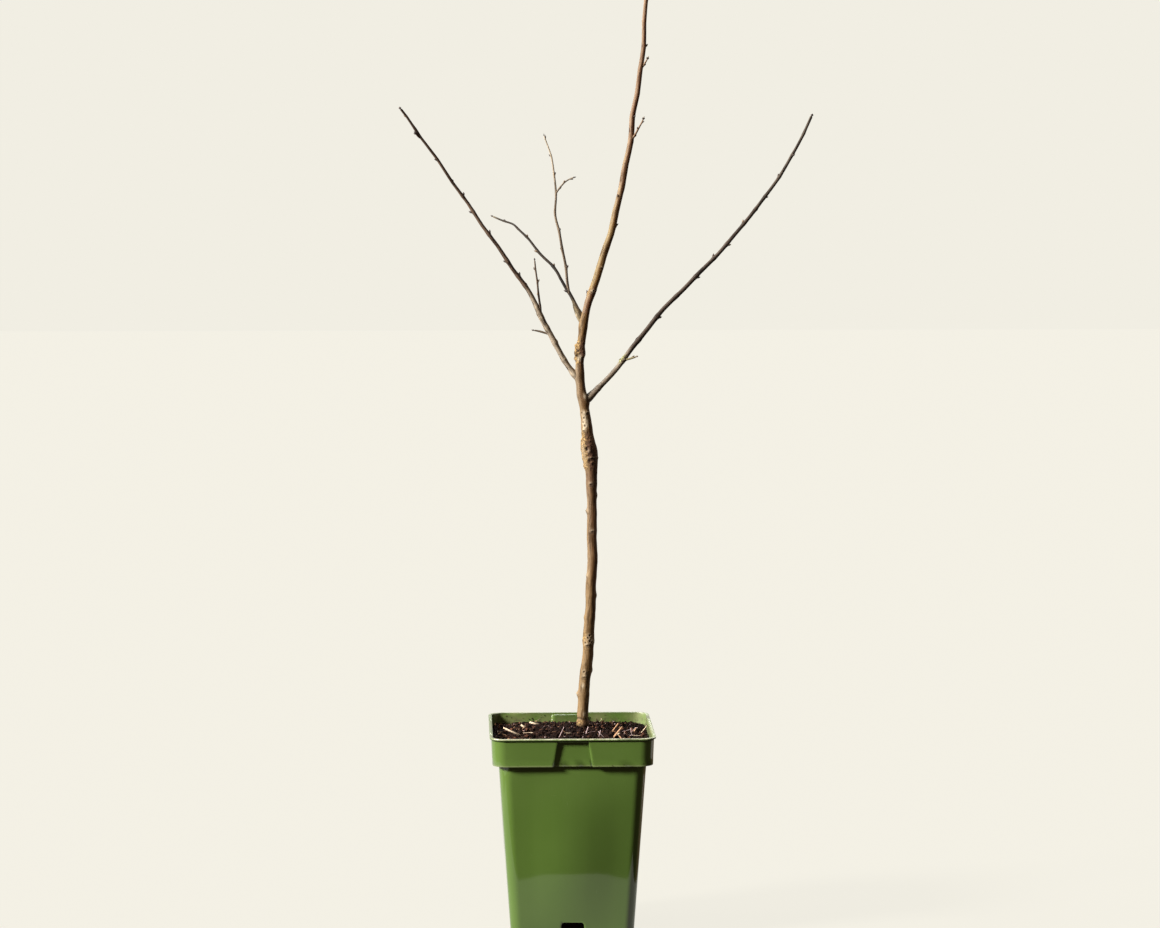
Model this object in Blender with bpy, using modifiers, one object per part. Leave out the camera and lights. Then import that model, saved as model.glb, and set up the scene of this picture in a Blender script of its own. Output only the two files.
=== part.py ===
"""A bare young grafted tree standing in a tall square nursery pot filled with soil.

Units are metres, +Z is up and the origin is the centre of the pot's underside. The pot's
front, with the label recess, faces -Y. Every limb is a smooth line through a few bends, with
a girth worked out along it. A limb's outer stretch, and each side twig, is a twig mass of its
own that starts GAP clear of the wood which carries it.
"""
import math
import random

import bmesh
import bpy
import numpy as np
from mathutils import Vector

GAP = 0.0003

# ---- pot ----
POT_HEIGHT = 0.2312
WALL = 0.0018
FLOOR = 0.0022
LIP_HALF = 0.0903
LIP_THICKNESS = 0.0019
BAND_HEIGHT = 0.0309
BAND_TOP_HALF = 0.0885
BAND_FOOT_HALF = 0.0874
BODY_TOP_HALF = 0.0804
BODY_FOOT_HALF = 0.0668
BAND_CORNER = 0.0150
BODY_TOP_CORNER = 0.0140
BODY_FOOT_CORNER = 0.0125
EDGE_EASE = 0.0005
CORNER_STEPS = 6
LEDGE = POT_HEIGHT - BAND_HEIGHT

# ---- label recess in the band, on the front and the back ----
RECESS_TOP_HALF = 0.0171
RECESS_FOOT_HALF = 0.0215
RECESS_TOP = 0.2262
RECESS_FACE = 0.0846
RECESS_BACKING = 0.0020

# ---- drainage windows, one in the foot of each side, notched into the floor ----
WINDOW_TOP_HALF = 0.0120
WINDOW_FOOT_HALF = 0.0145
WINDOW_HEIGHT = 0.0252
WINDOW_REACH = 0.0160
WINDOW_EASE = 0.0020

# ---- soil ----
SOIL_EDGE = 0.2195
GROUND = 0.2290
SOIL_FLAT = 0.0095
SOIL_RINGS = 7
SOIL_LUMP = 0.0012
SOIL_SEED = 5

# ---- wood ----
UP = Vector((0.0, 0.0, 1.0))
NODE_HALF = 0.0035
RING_MIN = 0.0012
HEADING_STEP = 0.0020
SWAY_FADE = 0.0200
SEAT_GROWTH = 0.0005
SLEEVE_BELOW = 0.035
SLEEVE_ABOVE = 0.045
SEARCH_STEPS = 400
TOUCH_STEPS = 60
NODE_SWELL = 0.14
NODE_TURN = math.radians(144.0)
TURN_JITTER = math.radians(25.0)
BUD_LENGTH = (0.0026, 0.0040)
BUD_RADIUS = 0.0010
BUD_TIP_SHARE = 0.25
BUD_LEAN = math.radians(38.0)
BUD_SINK = 0.45
BUD_FACES = 6
SPUR_STEP = 0.006
SPUR_RADIUS = 0.0013
SPUR_TIP_RADIUS = 0.0006
SPUR_SHARE = 0.75
TWIG_SPACE = 0.070
LIMB_MARGIN = 0.0015

# Bevel resolutions of the tubes: a tube has 4 sides, and 2 more for each step.
TRUNK_SIDES = 4
LEADER_SIDES = 3
BOUGH_SIDES = 2
TWIG_SIDES = 1

TREE_FOOT = (0.0140, 0.0200)

# Where the main stem is parted into the trunk, the leader and the leader's twigs.
FORK_HEIGHT = 0.6860
LEADER_END_HEIGHT = 0.8700

MAIN_STEM_BENDS = (
    (TREE_FOOT[0], TREE_FOOT[1], GROUND),
    (0.0143, 0.0199, 0.2520),
    (0.0192, 0.0180, 0.3050),
    (0.0222, 0.0155, 0.3600),
    (0.0244, 0.0140, 0.4300),
    (0.0238, 0.0152, 0.4625),
    (0.0241, 0.0165, 0.4900),
    (0.0213, 0.0195, 0.5350),
    (0.0164, 0.0200, 0.5750),
    (0.0113, 0.0195, 0.6120),
    (0.0110, 0.0190, 0.6400),
    (0.0130, 0.0193, 0.6580),
    (0.0152, 0.0196, 0.6760),
    (0.0253, 0.0214, 0.7134),
    (0.0370, 0.0242, 0.7485),
    (0.0475, 0.0269, 0.7835),
    (0.0592, 0.0305, 0.8361),
    (0.0676, 0.0345, 0.8800),
    (0.0700, 0.0358, 0.9040),
    (0.0736, 0.0370, 0.9237),
    (0.0805, 0.0395, 0.9700),
    (0.0839, 0.0420, 1.0287),
    (0.0885, 0.0430, 1.0900),
    (0.0880, 0.0450, 1.1500),
)
RIGHT_BOUGH_BENDS = (
    (0.0140, 0.0200, 0.5870),
    (0.0265, 0.0220, 0.5985),
    (0.0440, 0.0270, 0.6160),
    (0.0725, 0.0360, 0.6508),
    (0.1009, 0.0455, 0.6853),
    (0.1370, 0.0560, 0.7209),
    (0.1720, 0.0660, 0.7561),
    (0.2023, 0.0757, 0.7912),
    (0.2301, 0.0855, 0.8265),
    (0.2530, 0.0952, 0.8620),
    (0.2747, 0.1050, 0.9044),
)
LEFT_BOUGH_BENDS = (
    (0.0113, 0.0195, 0.6110),
    (0.0038, 0.0190, 0.6203),
    (-0.0124, 0.0182, 0.6458),
    (-0.0254, 0.0172, 0.6697),
    (-0.0424, 0.0150, 0.7050),
    (-0.0660, 0.0115, 0.7403),
    (-0.0906, 0.0075, 0.7755),
    (-0.1266, 0.0010, 0.8278),
    (-0.1561, -0.0050, 0.8702),
    (-0.1859, -0.0100, 0.9113),
)
UPPER_LEFT_BOUGH_BENDS = (
    (0.0152, 0.0198, 0.6728),
    (0.0083, 0.0262, 0.6894),
    (0.0045, 0.0330, 0.6990),
    (-0.0037, 0.0400, 0.7125),
    (-0.0129, 0.0480, 0.7299),
    (-0.0287, 0.0600, 0.7473),
    (-0.0517, 0.0766, 0.7735),
    (-0.0610, 0.0850, 0.7822),
    (-0.0720, 0.0930, 0.7855),
    (-0.0853, 0.1000, 0.7918),
)
UPRIGHT_TWIG_BENDS = (
    (-0.0005, 0.0368, 0.7068),
    (-0.0024, 0.0415, 0.7214),
    (-0.0045, 0.0460, 0.7390),
    (-0.0111, 0.0510, 0.7741),
    (-0.0149, 0.0540, 0.7917),
    (-0.0146, 0.0580, 0.8130),
    (-0.0158, 0.0615, 0.8360),
    (-0.0185, 0.0650, 0.8530),
    (-0.0271, 0.0700, 0.8821),
)

# Swellings of a limb: (distance from its foot, added radius, half length).
ROOT_FLARE = (0.000, 0.0009, 0.0070)
GRAFT_FOOT = (0.270, 0.0008, 0.0120)
GRAFT_UNION = (0.305, 0.0040, 0.0185)
GRAFT_SHOULDER = (0.335, 0.0008, 0.0060)
FORK_COLLAR = (0.362, 0.0016, 0.0140)
OLD_WOUND = (0.416, 0.0020, 0.0060)
BOUGH_COLLAR = (0.010, 0.0014, 0.0100)
UPPER_LEFT_COLLAR = (0.013, 0.0019, 0.0120)

# Girth and nodes of each limb. The sway is how far its line zigzags to each side.
MAIN_STEM = {
    "bends": MAIN_STEM_BENDS, "foot_radius": 0.0064, "tip_radius": 0.0015, "taper": 1.25,
    "node_step": 0.0262, "first_node": 0.0262, "sway": 0.0005,
    "swellings": (ROOT_FLARE, GRAFT_FOOT, GRAFT_UNION, GRAFT_SHOULDER, FORK_COLLAR, OLD_WOUND),
}
RIGHT_BOUGH = {
    "bends": RIGHT_BOUGH_BENDS, "foot_radius": 0.0030, "tip_radius": 0.0015,
    "node_step": 0.0285, "first_node": 0.0270, "sway": -0.0003, "swellings": (BOUGH_COLLAR,),
}
LEFT_BOUGH = {
    "bends": LEFT_BOUGH_BENDS, "foot_radius": 0.0031, "tip_radius": 0.0013, "taper": 0.75,
    "node_step": 0.0290, "first_node": 0.0300, "sway": -0.0005, "swellings": (BOUGH_COLLAR,),
}
UPPER_LEFT_BOUGH = {
    "bends": UPPER_LEFT_BOUGH_BENDS, "foot_radius": 0.0024, "tip_radius": 0.0009,
    "node_step": 0.0200, "first_node": 0.0230, "sway": -0.0005, "swellings": (UPPER_LEFT_COLLAR,),
}
UPRIGHT_TWIG = {
    "bends": UPRIGHT_TWIG_BENDS, "foot_radius": 0.0015, "tip_radius": 0.0006, "taper": 2.0,
    "node_step": 0.0210, "first_node": 0.0300, "sway": 0.0004,
}
SIDE_TWIG = {
    "foot_radius": 0.0013, "tip_radius": 0.0008,
    "node_step": 0.0140, "first_node": 0.0120, "sway": 0.0002,
}

# Side twigs fused to a mass: a node's number to the twig's (aim, length, bend to the sky).
LEADER_SPURS = {
    0: ((0.50, -0.30, 0.75), 0.031, 0.5),
    3: ((0.50, -0.10, 0.70), 0.017, 0.3),
    6: ((-0.60, 0.40, 0.80), 0.014, 0.4),
    8: ((0.40, 0.60, 0.80), 0.011, 0.4),
}
LEADER_SEED, LEADER_TURN = 11, 2.6
UPRIGHT_SEED, UPRIGHT_TURN = 57, 0.0
SIDE_TURN = 1.5
LEFT_SPURS = {2: ((-0.75, -0.30, 0.45), 0.011, 0.9)}
UPRIGHT_SPURS = {4: ((0.55, -0.30, 0.85), 0.031, -0.8)}

# Boughs: name, limb, height where its twigs take over, their seed, first turn and spurs.
BOUGHS = (
    ("right_bough", RIGHT_BOUGH, 0.800, 23, 0.4, {}),
    ("left_bough", LEFT_BOUGH, 0.8142, 31, 1.2, LEFT_SPURS),
    ("upper_left_bough", UPPER_LEFT_BOUGH, 0.784, 43, 0.2, {}),
)
# Twigs on the side of a bough: name, bough, height, aim, length, bend to the sky, seed.
SIDE_TWIGS = (
    ("left_rising_twigs", "left_bough", 0.6821, (-0.12, -0.15, 1.00), 0.066, 0.0, 61),
    ("left_spur_twigs", "left_bough", 0.6626, (-0.90, 0.10, 0.30), 0.021, -0.2, 67),
    ("right_spur_twigs", "right_bough", 0.6330, (0.85, -0.45, 0.30), 0.019, 0.0, 71),
)


class Limb:
    """A smooth tapering line of wood with evenly stepped, slightly zigzag nodes."""

    def __init__(self, bends, foot_radius, tip_radius, node_step, first_node, sway,
                 swellings=(), taper=1.0):
        self.bends = np.array(bends)
        self.reach = np.zeros(len(bends))
        self.reach[1:] = np.cumsum(np.linalg.norm(np.diff(self.bends, axis=0), axis=1))
        self.length = self.reach[-1]
        self.slopes = np.gradient(self.bends, self.reach, axis=0)
        self.foot_radius = foot_radius
        self.tip_radius = tip_radius
        self.node_step = node_step
        self.first_node = first_node
        self.sway = sway
        self.swellings = swellings
        self.taper = taper

    def nodes(self):
        return np.arange(self.first_node, self.length - NODE_HALF, self.node_step)

    def smooth(self, place):
        """The point of the smooth line at a distance from the foot."""
        span = int(np.clip(np.searchsorted(self.reach, place) - 1, 0, len(self.reach) - 2))
        width = self.reach[span + 1] - self.reach[span]
        t = (place - self.reach[span]) / width
        start, end = self.bends[span], self.bends[span + 1]
        leave, arrive = self.slopes[span] * width, self.slopes[span + 1] * width
        point = (start * (2 * t**3 - 3 * t**2 + 1) + leave * (t**3 - 2 * t**2 + t)
                 + end * (3 * t**2 - 2 * t**3) + arrive * (t**3 - t**2))
        return Vector(point)

    def heading(self, place):
        low = max(place - HEADING_STEP, 0.0)
        high = min(place + HEADING_STEP, self.length)
        return (self.smooth(high) - self.smooth(low)).normalized()

    def centre(self, place):
        """The smooth line with its zigzag: a turn one way and then the other at the nodes."""
        phase = (place - self.first_node) / (2 * self.node_step)
        zigzag = 4 * abs(phase - math.floor(phase + 0.5)) - 1
        fade = min(1.0, place / SWAY_FADE)
        aside = self.heading(place).cross(Vector((0.0, 1.0, 0.0))).normalized()
        return self.smooth(place) + aside * (self.sway * zigzag * fade)

    def radius(self, place):
        share = (place / self.length) ** self.taper
        size = self.foot_radius + (self.tip_radius - self.foot_radius) * share
        swell = sum(gain * math.exp(-((place - at) / spread) ** 2)
                    for at, gain, spread in self.swellings)
        knot = sum(math.exp(-((place - node) / NODE_HALF) ** 2) for node in self.nodes())
        return size * (1 + NODE_SWELL * knot) + swell

    def rings(self, start, end):
        """Places for a tube's rings: close to both ends, round each node and midway between."""
        half = self.node_step / 2
        wanted = set()
        for node in self.nodes():
            wanted.update((node - NODE_HALF, node, node + NODE_HALF, node + half))
        for at, _, spread in self.swellings:
            wanted.update((at - 1.5 * spread, at - 0.7 * spread, at, at + 0.7 * spread,
                           at + 1.5 * spread))
        kept = [start, start + RING_MIN]
        for place in sorted(wanted):
            if place - kept[-1] > RING_MIN and end - place > 2 * RING_MIN:
                kept.append(place)
        return kept + [end - RING_MIN, end]

    def at_height(self, height):
        """The distance from the foot at which the smooth line passes a height."""
        low, high = 0.0, self.length
        for _ in range(40):
            middle = (low + high) / 2
            if self.smooth(middle).z < height:
                low = middle
            else:
                high = middle
        return (low + high) / 2

    def side(self, place, turn):
        """A unit vector square to the limb, turned about it from +X."""
        along = self.heading(place)
        first = (Vector((1.0, 0.0, 0.0)) - along * along.x).normalized()
        return first * math.cos(turn) + along.cross(first) * math.sin(turn)


def paint(name, colour, roughness, metallic=0.0):
    material = bpy.data.materials.get(name) or bpy.data.materials.new(name)
    material.use_nodes = True
    shader = material.node_tree.nodes["Principled BSDF"]
    shader.inputs["Base Color"].default_value = (*colour, 1.0)
    shader.inputs["Roughness"].default_value = roughness
    shader.inputs["Metallic"].default_value = metallic
    return material


def collection(name):
    new = bpy.data.collections.new(name)
    bpy.context.scene.collection.children.link(new)
    return new


def mesh_object(name, bm, home, material=None):
    mesh = bpy.data.meshes.new(name)
    bmesh.ops.recalc_face_normals(bm, faces=bm.faces)
    bm.to_mesh(mesh)
    bm.free()
    made = bpy.data.objects.new(name, mesh)
    home.objects.link(made)
    if material:
        mesh.materials.append(material)
    return made


def settle(made):
    """Apply an object's modifiers by taking its evaluated mesh."""
    graph = bpy.context.evaluated_depsgraph_get()
    graph.update()
    mesh = bpy.data.meshes.new_from_object(made.evaluated_get(graph))
    old = made.data
    made.modifiers.clear()
    made.data = mesh
    bpy.data.meshes.remove(old)
    mesh.name = made.name


def boolean(made, operation, other):
    modifier = made.modifiers.new(f"{operation} {other.name}", "BOOLEAN")
    modifier.operation = operation
    modifier.object = other
    modifier.solver = "EXACT"


def as_cutter(made):
    made.hide_render = True
    made.display_type = "WIRE"
    return made


def smooth_shading(made, angle=40.0):
    made.data.shade_smooth()
    made.data.set_sharp_from_angle(angle=math.radians(angle))


# ---- pot ----
def rounded_square(half, corner, steps=CORNER_STEPS):
    """Points round a square with round corners, counter-clockwise from the +X side."""
    points = []
    for quarter in range(4):
        middle = math.radians(45 + 90 * quarter)
        reach = (half - corner) * math.sqrt(2)
        centre = (reach * math.cos(middle), reach * math.sin(middle))
        for step in range(steps + 1):
            angle = math.radians(90 * quarter + 90 * step / steps)
            points.append((centre[0] + corner * math.cos(angle),
                           centre[1] + corner * math.sin(angle)))
    return points


def loft(rings):
    """A closed body through rings of equal point count, listed upwards."""
    bm = bmesh.new()
    rows = [[bm.verts.new(point) for point in ring] for ring in rings]
    count = len(rows[0])
    for low, high in zip(rows, rows[1:]):
        for index in range(count):
            after = (index + 1) % count
            bm.faces.new((low[index], low[after], high[after], high[index]))
    bm.faces.new(list(reversed(rows[0])))
    bm.faces.new(rows[-1])
    return bm


def square_loft(levels):
    """A loft through rounded squares given as (height, half width, corner radius)."""
    return loft([[(x, y, height) for x, y in rounded_square(half, corner)]
                 for height, half, corner in levels])


def body_half(height):
    return BODY_FOOT_HALF + (BODY_TOP_HALF - BODY_FOOT_HALF) * height / LEDGE


def cavity_levels(clear, top):
    """The pot's inside, drawn in by clear from its walls, floor and inner ledge."""
    floor = FLOOR + clear
    ledge = LEDGE + WALL + clear
    inset = WALL + clear
    return [
        (floor, body_half(floor) - inset, BODY_FOOT_CORNER - inset),
        (ledge, body_half(ledge) - inset, BODY_TOP_CORNER - inset),
        (ledge, BAND_FOOT_HALF - inset, BAND_CORNER - inset),
        (top, BAND_TOP_HALF - inset, BAND_CORNER - inset),
    ]


def wedge(name, home, foot_half, top_half, foot, top, near, far):
    """A block whose front outline is a trapezoid, reaching from depth near to depth far."""
    bpy.ops.mesh.primitive_cube_add(size=1.0)
    made = bpy.context.object
    made.name = name
    for vertex in made.data.vertices:
        upper = vertex.co.z > 0
        half = top_half if upper else foot_half
        vertex.co = (math.copysign(half, vertex.co.x), far if vertex.co.y > 0 else near,
                     top if upper else foot)
    for old in made.users_collection:
        old.objects.unlink(made)
    home.objects.link(made)
    return as_cutter(made)


def recess_block(name, home, turn, grow, face):
    """A block over the label recess, out past the band and in to face, grown by grow."""
    block = wedge(name, home, RECESS_FOOT_HALF + grow, RECESS_TOP_HALF + grow,
                  LEDGE - 0.004, RECESS_TOP + grow, -0.100, -face)
    block.rotation_euler.z = turn
    return block


def window_block(home, number, grow):
    """One drainage window: through the wall and a little way into the floor and the soil."""
    outside = BODY_FOOT_HALF + 0.010
    inside = BODY_FOOT_HALF - WINDOW_REACH
    block = wedge(f"window_{number}_{round(grow * 1e4)}", home, WINDOW_FOOT_HALF + grow,
                  WINDOW_TOP_HALF + grow, -0.002, WINDOW_HEIGHT + grow, -outside, -inside + grow)
    ease = block.modifiers.new("ease", "BEVEL")
    ease.width = WINDOW_EASE
    ease.segments = 3
    ease.limit_method = "ANGLE"
    block.rotation_euler.z = math.radians(90 * number)
    return block


def make_pot(home, cutters):
    green = paint("green plastic", (0.085, 0.165, 0.045), 0.38)
    ease = EDGE_EASE
    lip = POT_HEIGHT - LIP_THICKNESS
    lip_corner = BAND_CORNER + LIP_HALF - BAND_TOP_HALF
    pot = mesh_object("pot", square_loft([
        (0.0, BODY_FOOT_HALF - ease, BODY_FOOT_CORNER - ease),
        (ease, BODY_FOOT_HALF, BODY_FOOT_CORNER),
        (LEDGE, BODY_TOP_HALF, BODY_TOP_CORNER),
        (LEDGE, BAND_FOOT_HALF - ease, BAND_CORNER - ease),
        (LEDGE + ease, BAND_FOOT_HALF, BAND_CORNER),
        (lip, BAND_TOP_HALF, BAND_CORNER),
        (lip, LIP_HALF - ease, lip_corner - ease),
        (lip + ease, LIP_HALF, lip_corner),
        (POT_HEIGHT - ease, LIP_HALF, lip_corner),
        (POT_HEIGHT, LIP_HALF - ease, lip_corner - ease),
    ]), home, green)
    cavity = as_cutter(mesh_object("cavity", square_loft(cavity_levels(0.0, POT_HEIGHT + 0.010)),
                                   cutters))
    for number, turn in enumerate((0.0, math.pi)):
        backing = recess_block(f"backing_{number}", cutters, turn, WALL,
                               RECESS_FACE - RECESS_BACKING)
        boolean(cavity, "DIFFERENCE", backing)
    boolean(pot, "DIFFERENCE", cavity)
    for number, turn in enumerate((0.0, math.pi)):
        boolean(pot, "DIFFERENCE",
                recess_block(f"recess_{number}", cutters, turn, 0.0, RECESS_FACE))
    for number in range(4):
        boolean(pot, "DIFFERENCE", window_block(cutters, number, 0.0))
    smooth_shading(pot)
    return pot


# ---- soil ----
def make_soil(home, cutters):
    """The soil fills the pot and rises to a level spot under the trunk's flat foot."""
    brown = paint("potting soil", (0.075, 0.040, 0.028), 0.95)
    rng = random.Random(SOIL_SEED)
    levels = cavity_levels(GAP, SOIL_EDGE)
    band = levels[3]
    levels[3] = (SOIL_EDGE, band[1] - 0.0005, band[2])
    rings = [[(x, y, height) for x, y in rounded_square(half, corner)]
             for height, half, corner in levels]
    edge = rings[-1]
    flat = GROUND - GAP
    for step in range(1, SOIL_RINGS + 1):
        inward = step / SOIL_RINGS
        rise = math.sin(inward * math.pi / 2)
        ring = []
        for x, y, _ in edge:
            bearing = math.atan2(y, x)
            near = Vector((TREE_FOOT[0] + SOIL_FLAT * math.cos(bearing),
                           TREE_FOOT[1] + SOIL_FLAT * math.sin(bearing), 0.0))
            point = Vector((x, y, 0.0)).lerp(near, inward)
            lump = SOIL_LUMP * rng.uniform(-1.0, 1.0) if step < SOIL_RINGS else 0.0
            height = SOIL_EDGE + (flat - SOIL_EDGE) * rise + lump
            ring.append((point.x, point.y, min(height, flat)))
        rings.append(ring)
    soil = mesh_object("soil", loft(rings), home, brown)
    for number, turn in enumerate((0.0, math.pi)):
        boolean(soil, "DIFFERENCE",
                recess_block(f"soil_backing_{number}", cutters, turn, WALL + GAP,
                             RECESS_FACE - RECESS_BACKING - GAP))
    for number in range(4):
        boolean(soil, "DIFFERENCE", window_block(cutters, number, GAP))
    smooth_shading(soil)
    return soil


# ---- wood ----
def tube(name, home, points, radii, resolution, material=None):
    """A closed tapering tube: a curve with a bevel and filled caps, made a welded mesh."""
    curve = bpy.data.curves.new(name, "CURVE")
    curve.dimensions = "3D"
    curve.bevel_depth = 1.0
    curve.bevel_resolution = resolution
    curve.use_fill_caps = True
    line = curve.splines.new("POLY")
    line.points.add(len(points) - 1)
    for target, point, radius in zip(line.points, points, radii):
        target.co = (*point, 1.0)
        target.radius = radius
    drawn = bpy.data.objects.new(f"{name} curve", curve)
    home.objects.link(drawn)
    graph = bpy.context.evaluated_depsgraph_get()
    graph.update()
    mesh = bpy.data.meshes.new_from_object(drawn.evaluated_get(graph))
    bm = bmesh.new()
    bm.from_mesh(mesh)
    bmesh.ops.remove_doubles(bm, verts=bm.verts, dist=1e-6)
    bpy.data.objects.remove(drawn)
    bpy.data.curves.remove(curve)
    bpy.data.meshes.remove(mesh)
    return mesh_object(name, bm, home, material)


def limb_tube(name, home, limb, start, end, resolution, material=None, grow=0.0):
    places = limb.rings(start, end)
    points = [limb.centre(place) for place in places]
    radii = [limb.radius(place) + grow for place in places]
    return tube(name, home, points, radii, resolution, material)


def level_foot(made, height):
    """Flatten the lowest cap of a tube to one height."""
    lowest = min(vertex.co.z for vertex in made.data.vertices)
    for vertex in made.data.vertices:
        if vertex.co.z < lowest + RING_MIN / 2:
            vertex.co.z = height


def cut_clear_of(made, cutters, parent, place):
    """Cut a limb's foot back to about GAP outside the limb that carries it."""
    start = max(place - SLEEVE_BELOW, 0.0)
    end = min(place + SLEEVE_ABOVE, parent.length)
    sleeve = limb_tube(f"{made.name} sleeve", cutters, parent, start, end, TRUNK_SIDES,
                       grow=SEAT_GROWTH)
    boolean(made, "DIFFERENCE", as_cutter(sleeve))
    settle(made)


def nearest_place(limb, point):
    places = np.linspace(0.0, limb.length, SEARCH_STEPS)
    return float(min(places, key=lambda place: (limb.smooth(place) - Vector(point)).length))


def cone(name, home, foot, direction, length):
    """A pointed bud whose foot is sunk in the wood."""
    bm = bmesh.new()
    bmesh.ops.create_cone(bm, cap_ends=True, segments=BUD_FACES, radius1=BUD_RADIUS,
                          radius2=BUD_RADIUS * BUD_TIP_SHARE, depth=length)
    turn = direction.to_track_quat("Z", "Y").to_matrix().to_4x4()
    bmesh.ops.transform(bm, matrix=turn, verts=bm.verts)
    bmesh.ops.translate(bm, vec=foot + direction * (length / 2), verts=bm.verts)
    return mesh_object(name, bm, home)


def spur_line(limb, place, aim, length, lift):
    """Points of a short side twig that leaves a limb along aim and bends by lift to the sky."""
    direction = Vector(aim).normalized()
    count = max(3, round(length / SPUR_STEP))
    points = [limb.centre(place)]
    for step in range(count):
        bent = (direction + UP * (lift * step / count)).normalized()
        points.append(points[-1] + bent * (length / count))
    return points


def clear_of_limbs(points, own, limbs):
    """Whether a twig keeps to its mass's space and touches no other limb."""
    for point in points[1:]:
        if (point - points[0]).length > TWIG_SPACE:
            return False
        for limb in limbs.values():
            if limb is own:
                continue
            for place in np.linspace(0.0, limb.length, TOUCH_STEPS):
                if (limb.smooth(place) - point).length < limb.radius(place) + LIMB_MARGIN:
                    return False
    return True


def grow_twigs(made, own, start, limbs, seed, first_turn, spurs):
    """Fuse a bud to each node of a stem, or the side twig that spurs gives for the node.

    spurs maps a node's number, counted from start, to the side twig's (aim, length, lift).
    """
    rng = random.Random(seed)
    pieces = collection(f"{made.name} pieces")
    nodes = [node for node in own.nodes() if start + NODE_HALF < node < own.length - NODE_HALF]
    for number, node in enumerate(nodes):
        turn = first_turn + NODE_TURN * number + rng.uniform(-TURN_JITTER, TURN_JITTER)
        length = rng.uniform(*BUD_LENGTH)
        if number in spurs:
            points = spur_line(own, node, *spurs[number])
            if clear_of_limbs(points, own, limbs):
                foot_radius = min(SPUR_RADIUS, own.radius(node) * SPUR_SHARE)
                radii = np.linspace(foot_radius, SPUR_TIP_RADIUS, len(points))
                tube(f"{made.name} spur {number}", pieces, points, radii, TWIG_SIDES)
            continue
        out = own.side(node, turn)
        direction = own.heading(node) * math.cos(BUD_LEAN) + out * math.sin(BUD_LEAN)
        foot = own.centre(node) + out * (own.radius(node) * BUD_SINK)
        if clear_of_limbs([foot, foot + direction * length], own, limbs):
            cone(f"{made.name} bud {number}", pieces, foot, direction, length)
    fuse = made.modifiers.new("fuse", "BOOLEAN")
    fuse.operation = "UNION"
    fuse.operand_type = "COLLECTION"
    fuse.collection = pieces
    settle(made)
    for piece in list(pieces.objects):
        bpy.data.objects.remove(piece)
    bpy.data.collections.remove(pieces)


def make_bough(name, home, cutters, limb, stem, end, material):
    """A bough from its seat on the main stem to the place where its twigs take over."""
    made = limb_tube(name, home, limb, 0.0, end, BOUGH_SIDES, material)
    cut_clear_of(made, cutters, stem, nearest_place(stem, limb.smooth(0.0)))


def make_twigs(name, home, cutters, limb, limbs, material, seed, first_turn, spurs,
               carrier=None, start=0.0):
    """A twig mass: it goes on from start, or stands on the side of its carrier."""
    made = limb_tube(name, home, limb, start, limb.length, TWIG_SIDES, material)
    if carrier:
        cut_clear_of(made, cutters, carrier, nearest_place(carrier, limb.smooth(0.0)))
    grow_twigs(made, limb, start, limbs, seed, first_turn, spurs)


def make_tree(home, cutters):
    bark = paint("trunk bark", (0.30, 0.19, 0.11), 0.8)
    bough_bark = paint("bough bark", (0.13, 0.065, 0.045), 0.7)
    twig_bark = paint("twig bark", (0.16, 0.09, 0.05), 0.7)
    stem = Limb(**MAIN_STEM)
    upright = Limb(**UPRIGHT_TWIG)
    limbs = {name: Limb(**limb) for name, limb, *_ in BOUGHS}
    limbs.update(main_stem=stem, upright=upright)
    fork = stem.at_height(FORK_HEIGHT)
    leader_end = stem.at_height(LEADER_END_HEIGHT)

    trunk = limb_tube("trunk", home, stem, 0.0, fork, TRUNK_SIDES, bark)
    level_foot(trunk, GROUND)
    limb_tube("leader", home, stem, fork + GAP, leader_end, LEADER_SIDES, bough_bark)
    make_twigs("leader_twigs", home, cutters, stem, limbs, twig_bark, LEADER_SEED, LEADER_TURN,
               LEADER_SPURS, start=leader_end + GAP)

    for name, _, end_height, seed, first_turn, spurs in BOUGHS:
        limb = limbs[name]
        end = limb.at_height(end_height)
        make_bough(name, home, cutters, limb, stem, end, bough_bark)
        make_twigs(f"{name}_twigs", home, cutters, limb, limbs, twig_bark, seed, first_turn,
                   spurs, start=end + GAP)

    make_twigs("upright_twigs", home, cutters, upright, limbs, twig_bark, UPRIGHT_SEED,
               UPRIGHT_TURN, UPRIGHT_SPURS, carrier=limbs["upper_left_bough"])
    for name, carrier_name, height, aim, length, lift, seed in SIDE_TWIGS:
        carrier = limbs[carrier_name]
        points = spur_line(carrier, carrier.at_height(height), aim, length, lift)
        make_twigs(name, home, cutters, Limb(points, **SIDE_TWIG), limbs, twig_bark, seed,
                   SIDE_TURN, {}, carrier=carrier)

    for made in home.objects:
        if made.name not in ("pot", "soil"):
            smooth_shading(made)


def main():
    for old in list(bpy.data.objects):
        bpy.data.objects.remove(old)
    home = collection("potted young tree")
    cutters = collection("cutters")
    make_pot(home, cutters)
    make_soil(home, cutters)
    make_tree(home, cutters)


main()
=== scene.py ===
"""The looks of a bare young grafted tree that stands in a square nursery pot.

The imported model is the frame. Each of its nodes is replaced by a finished piece in the same
place: a moulded pot, loose potting soil, and wood with its bark, scars, twigs and buds. Units
are metres, +Z is up, and the pot's label recess faces -Y. Limbs are the same smooth lines, and
side twigs grow by the same rule, as in the solids.
"""
import math
import random
from contextlib import contextmanager

import bmesh
import bpy
import numpy as np
from mathutils import Matrix, Vector, noise


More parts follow.
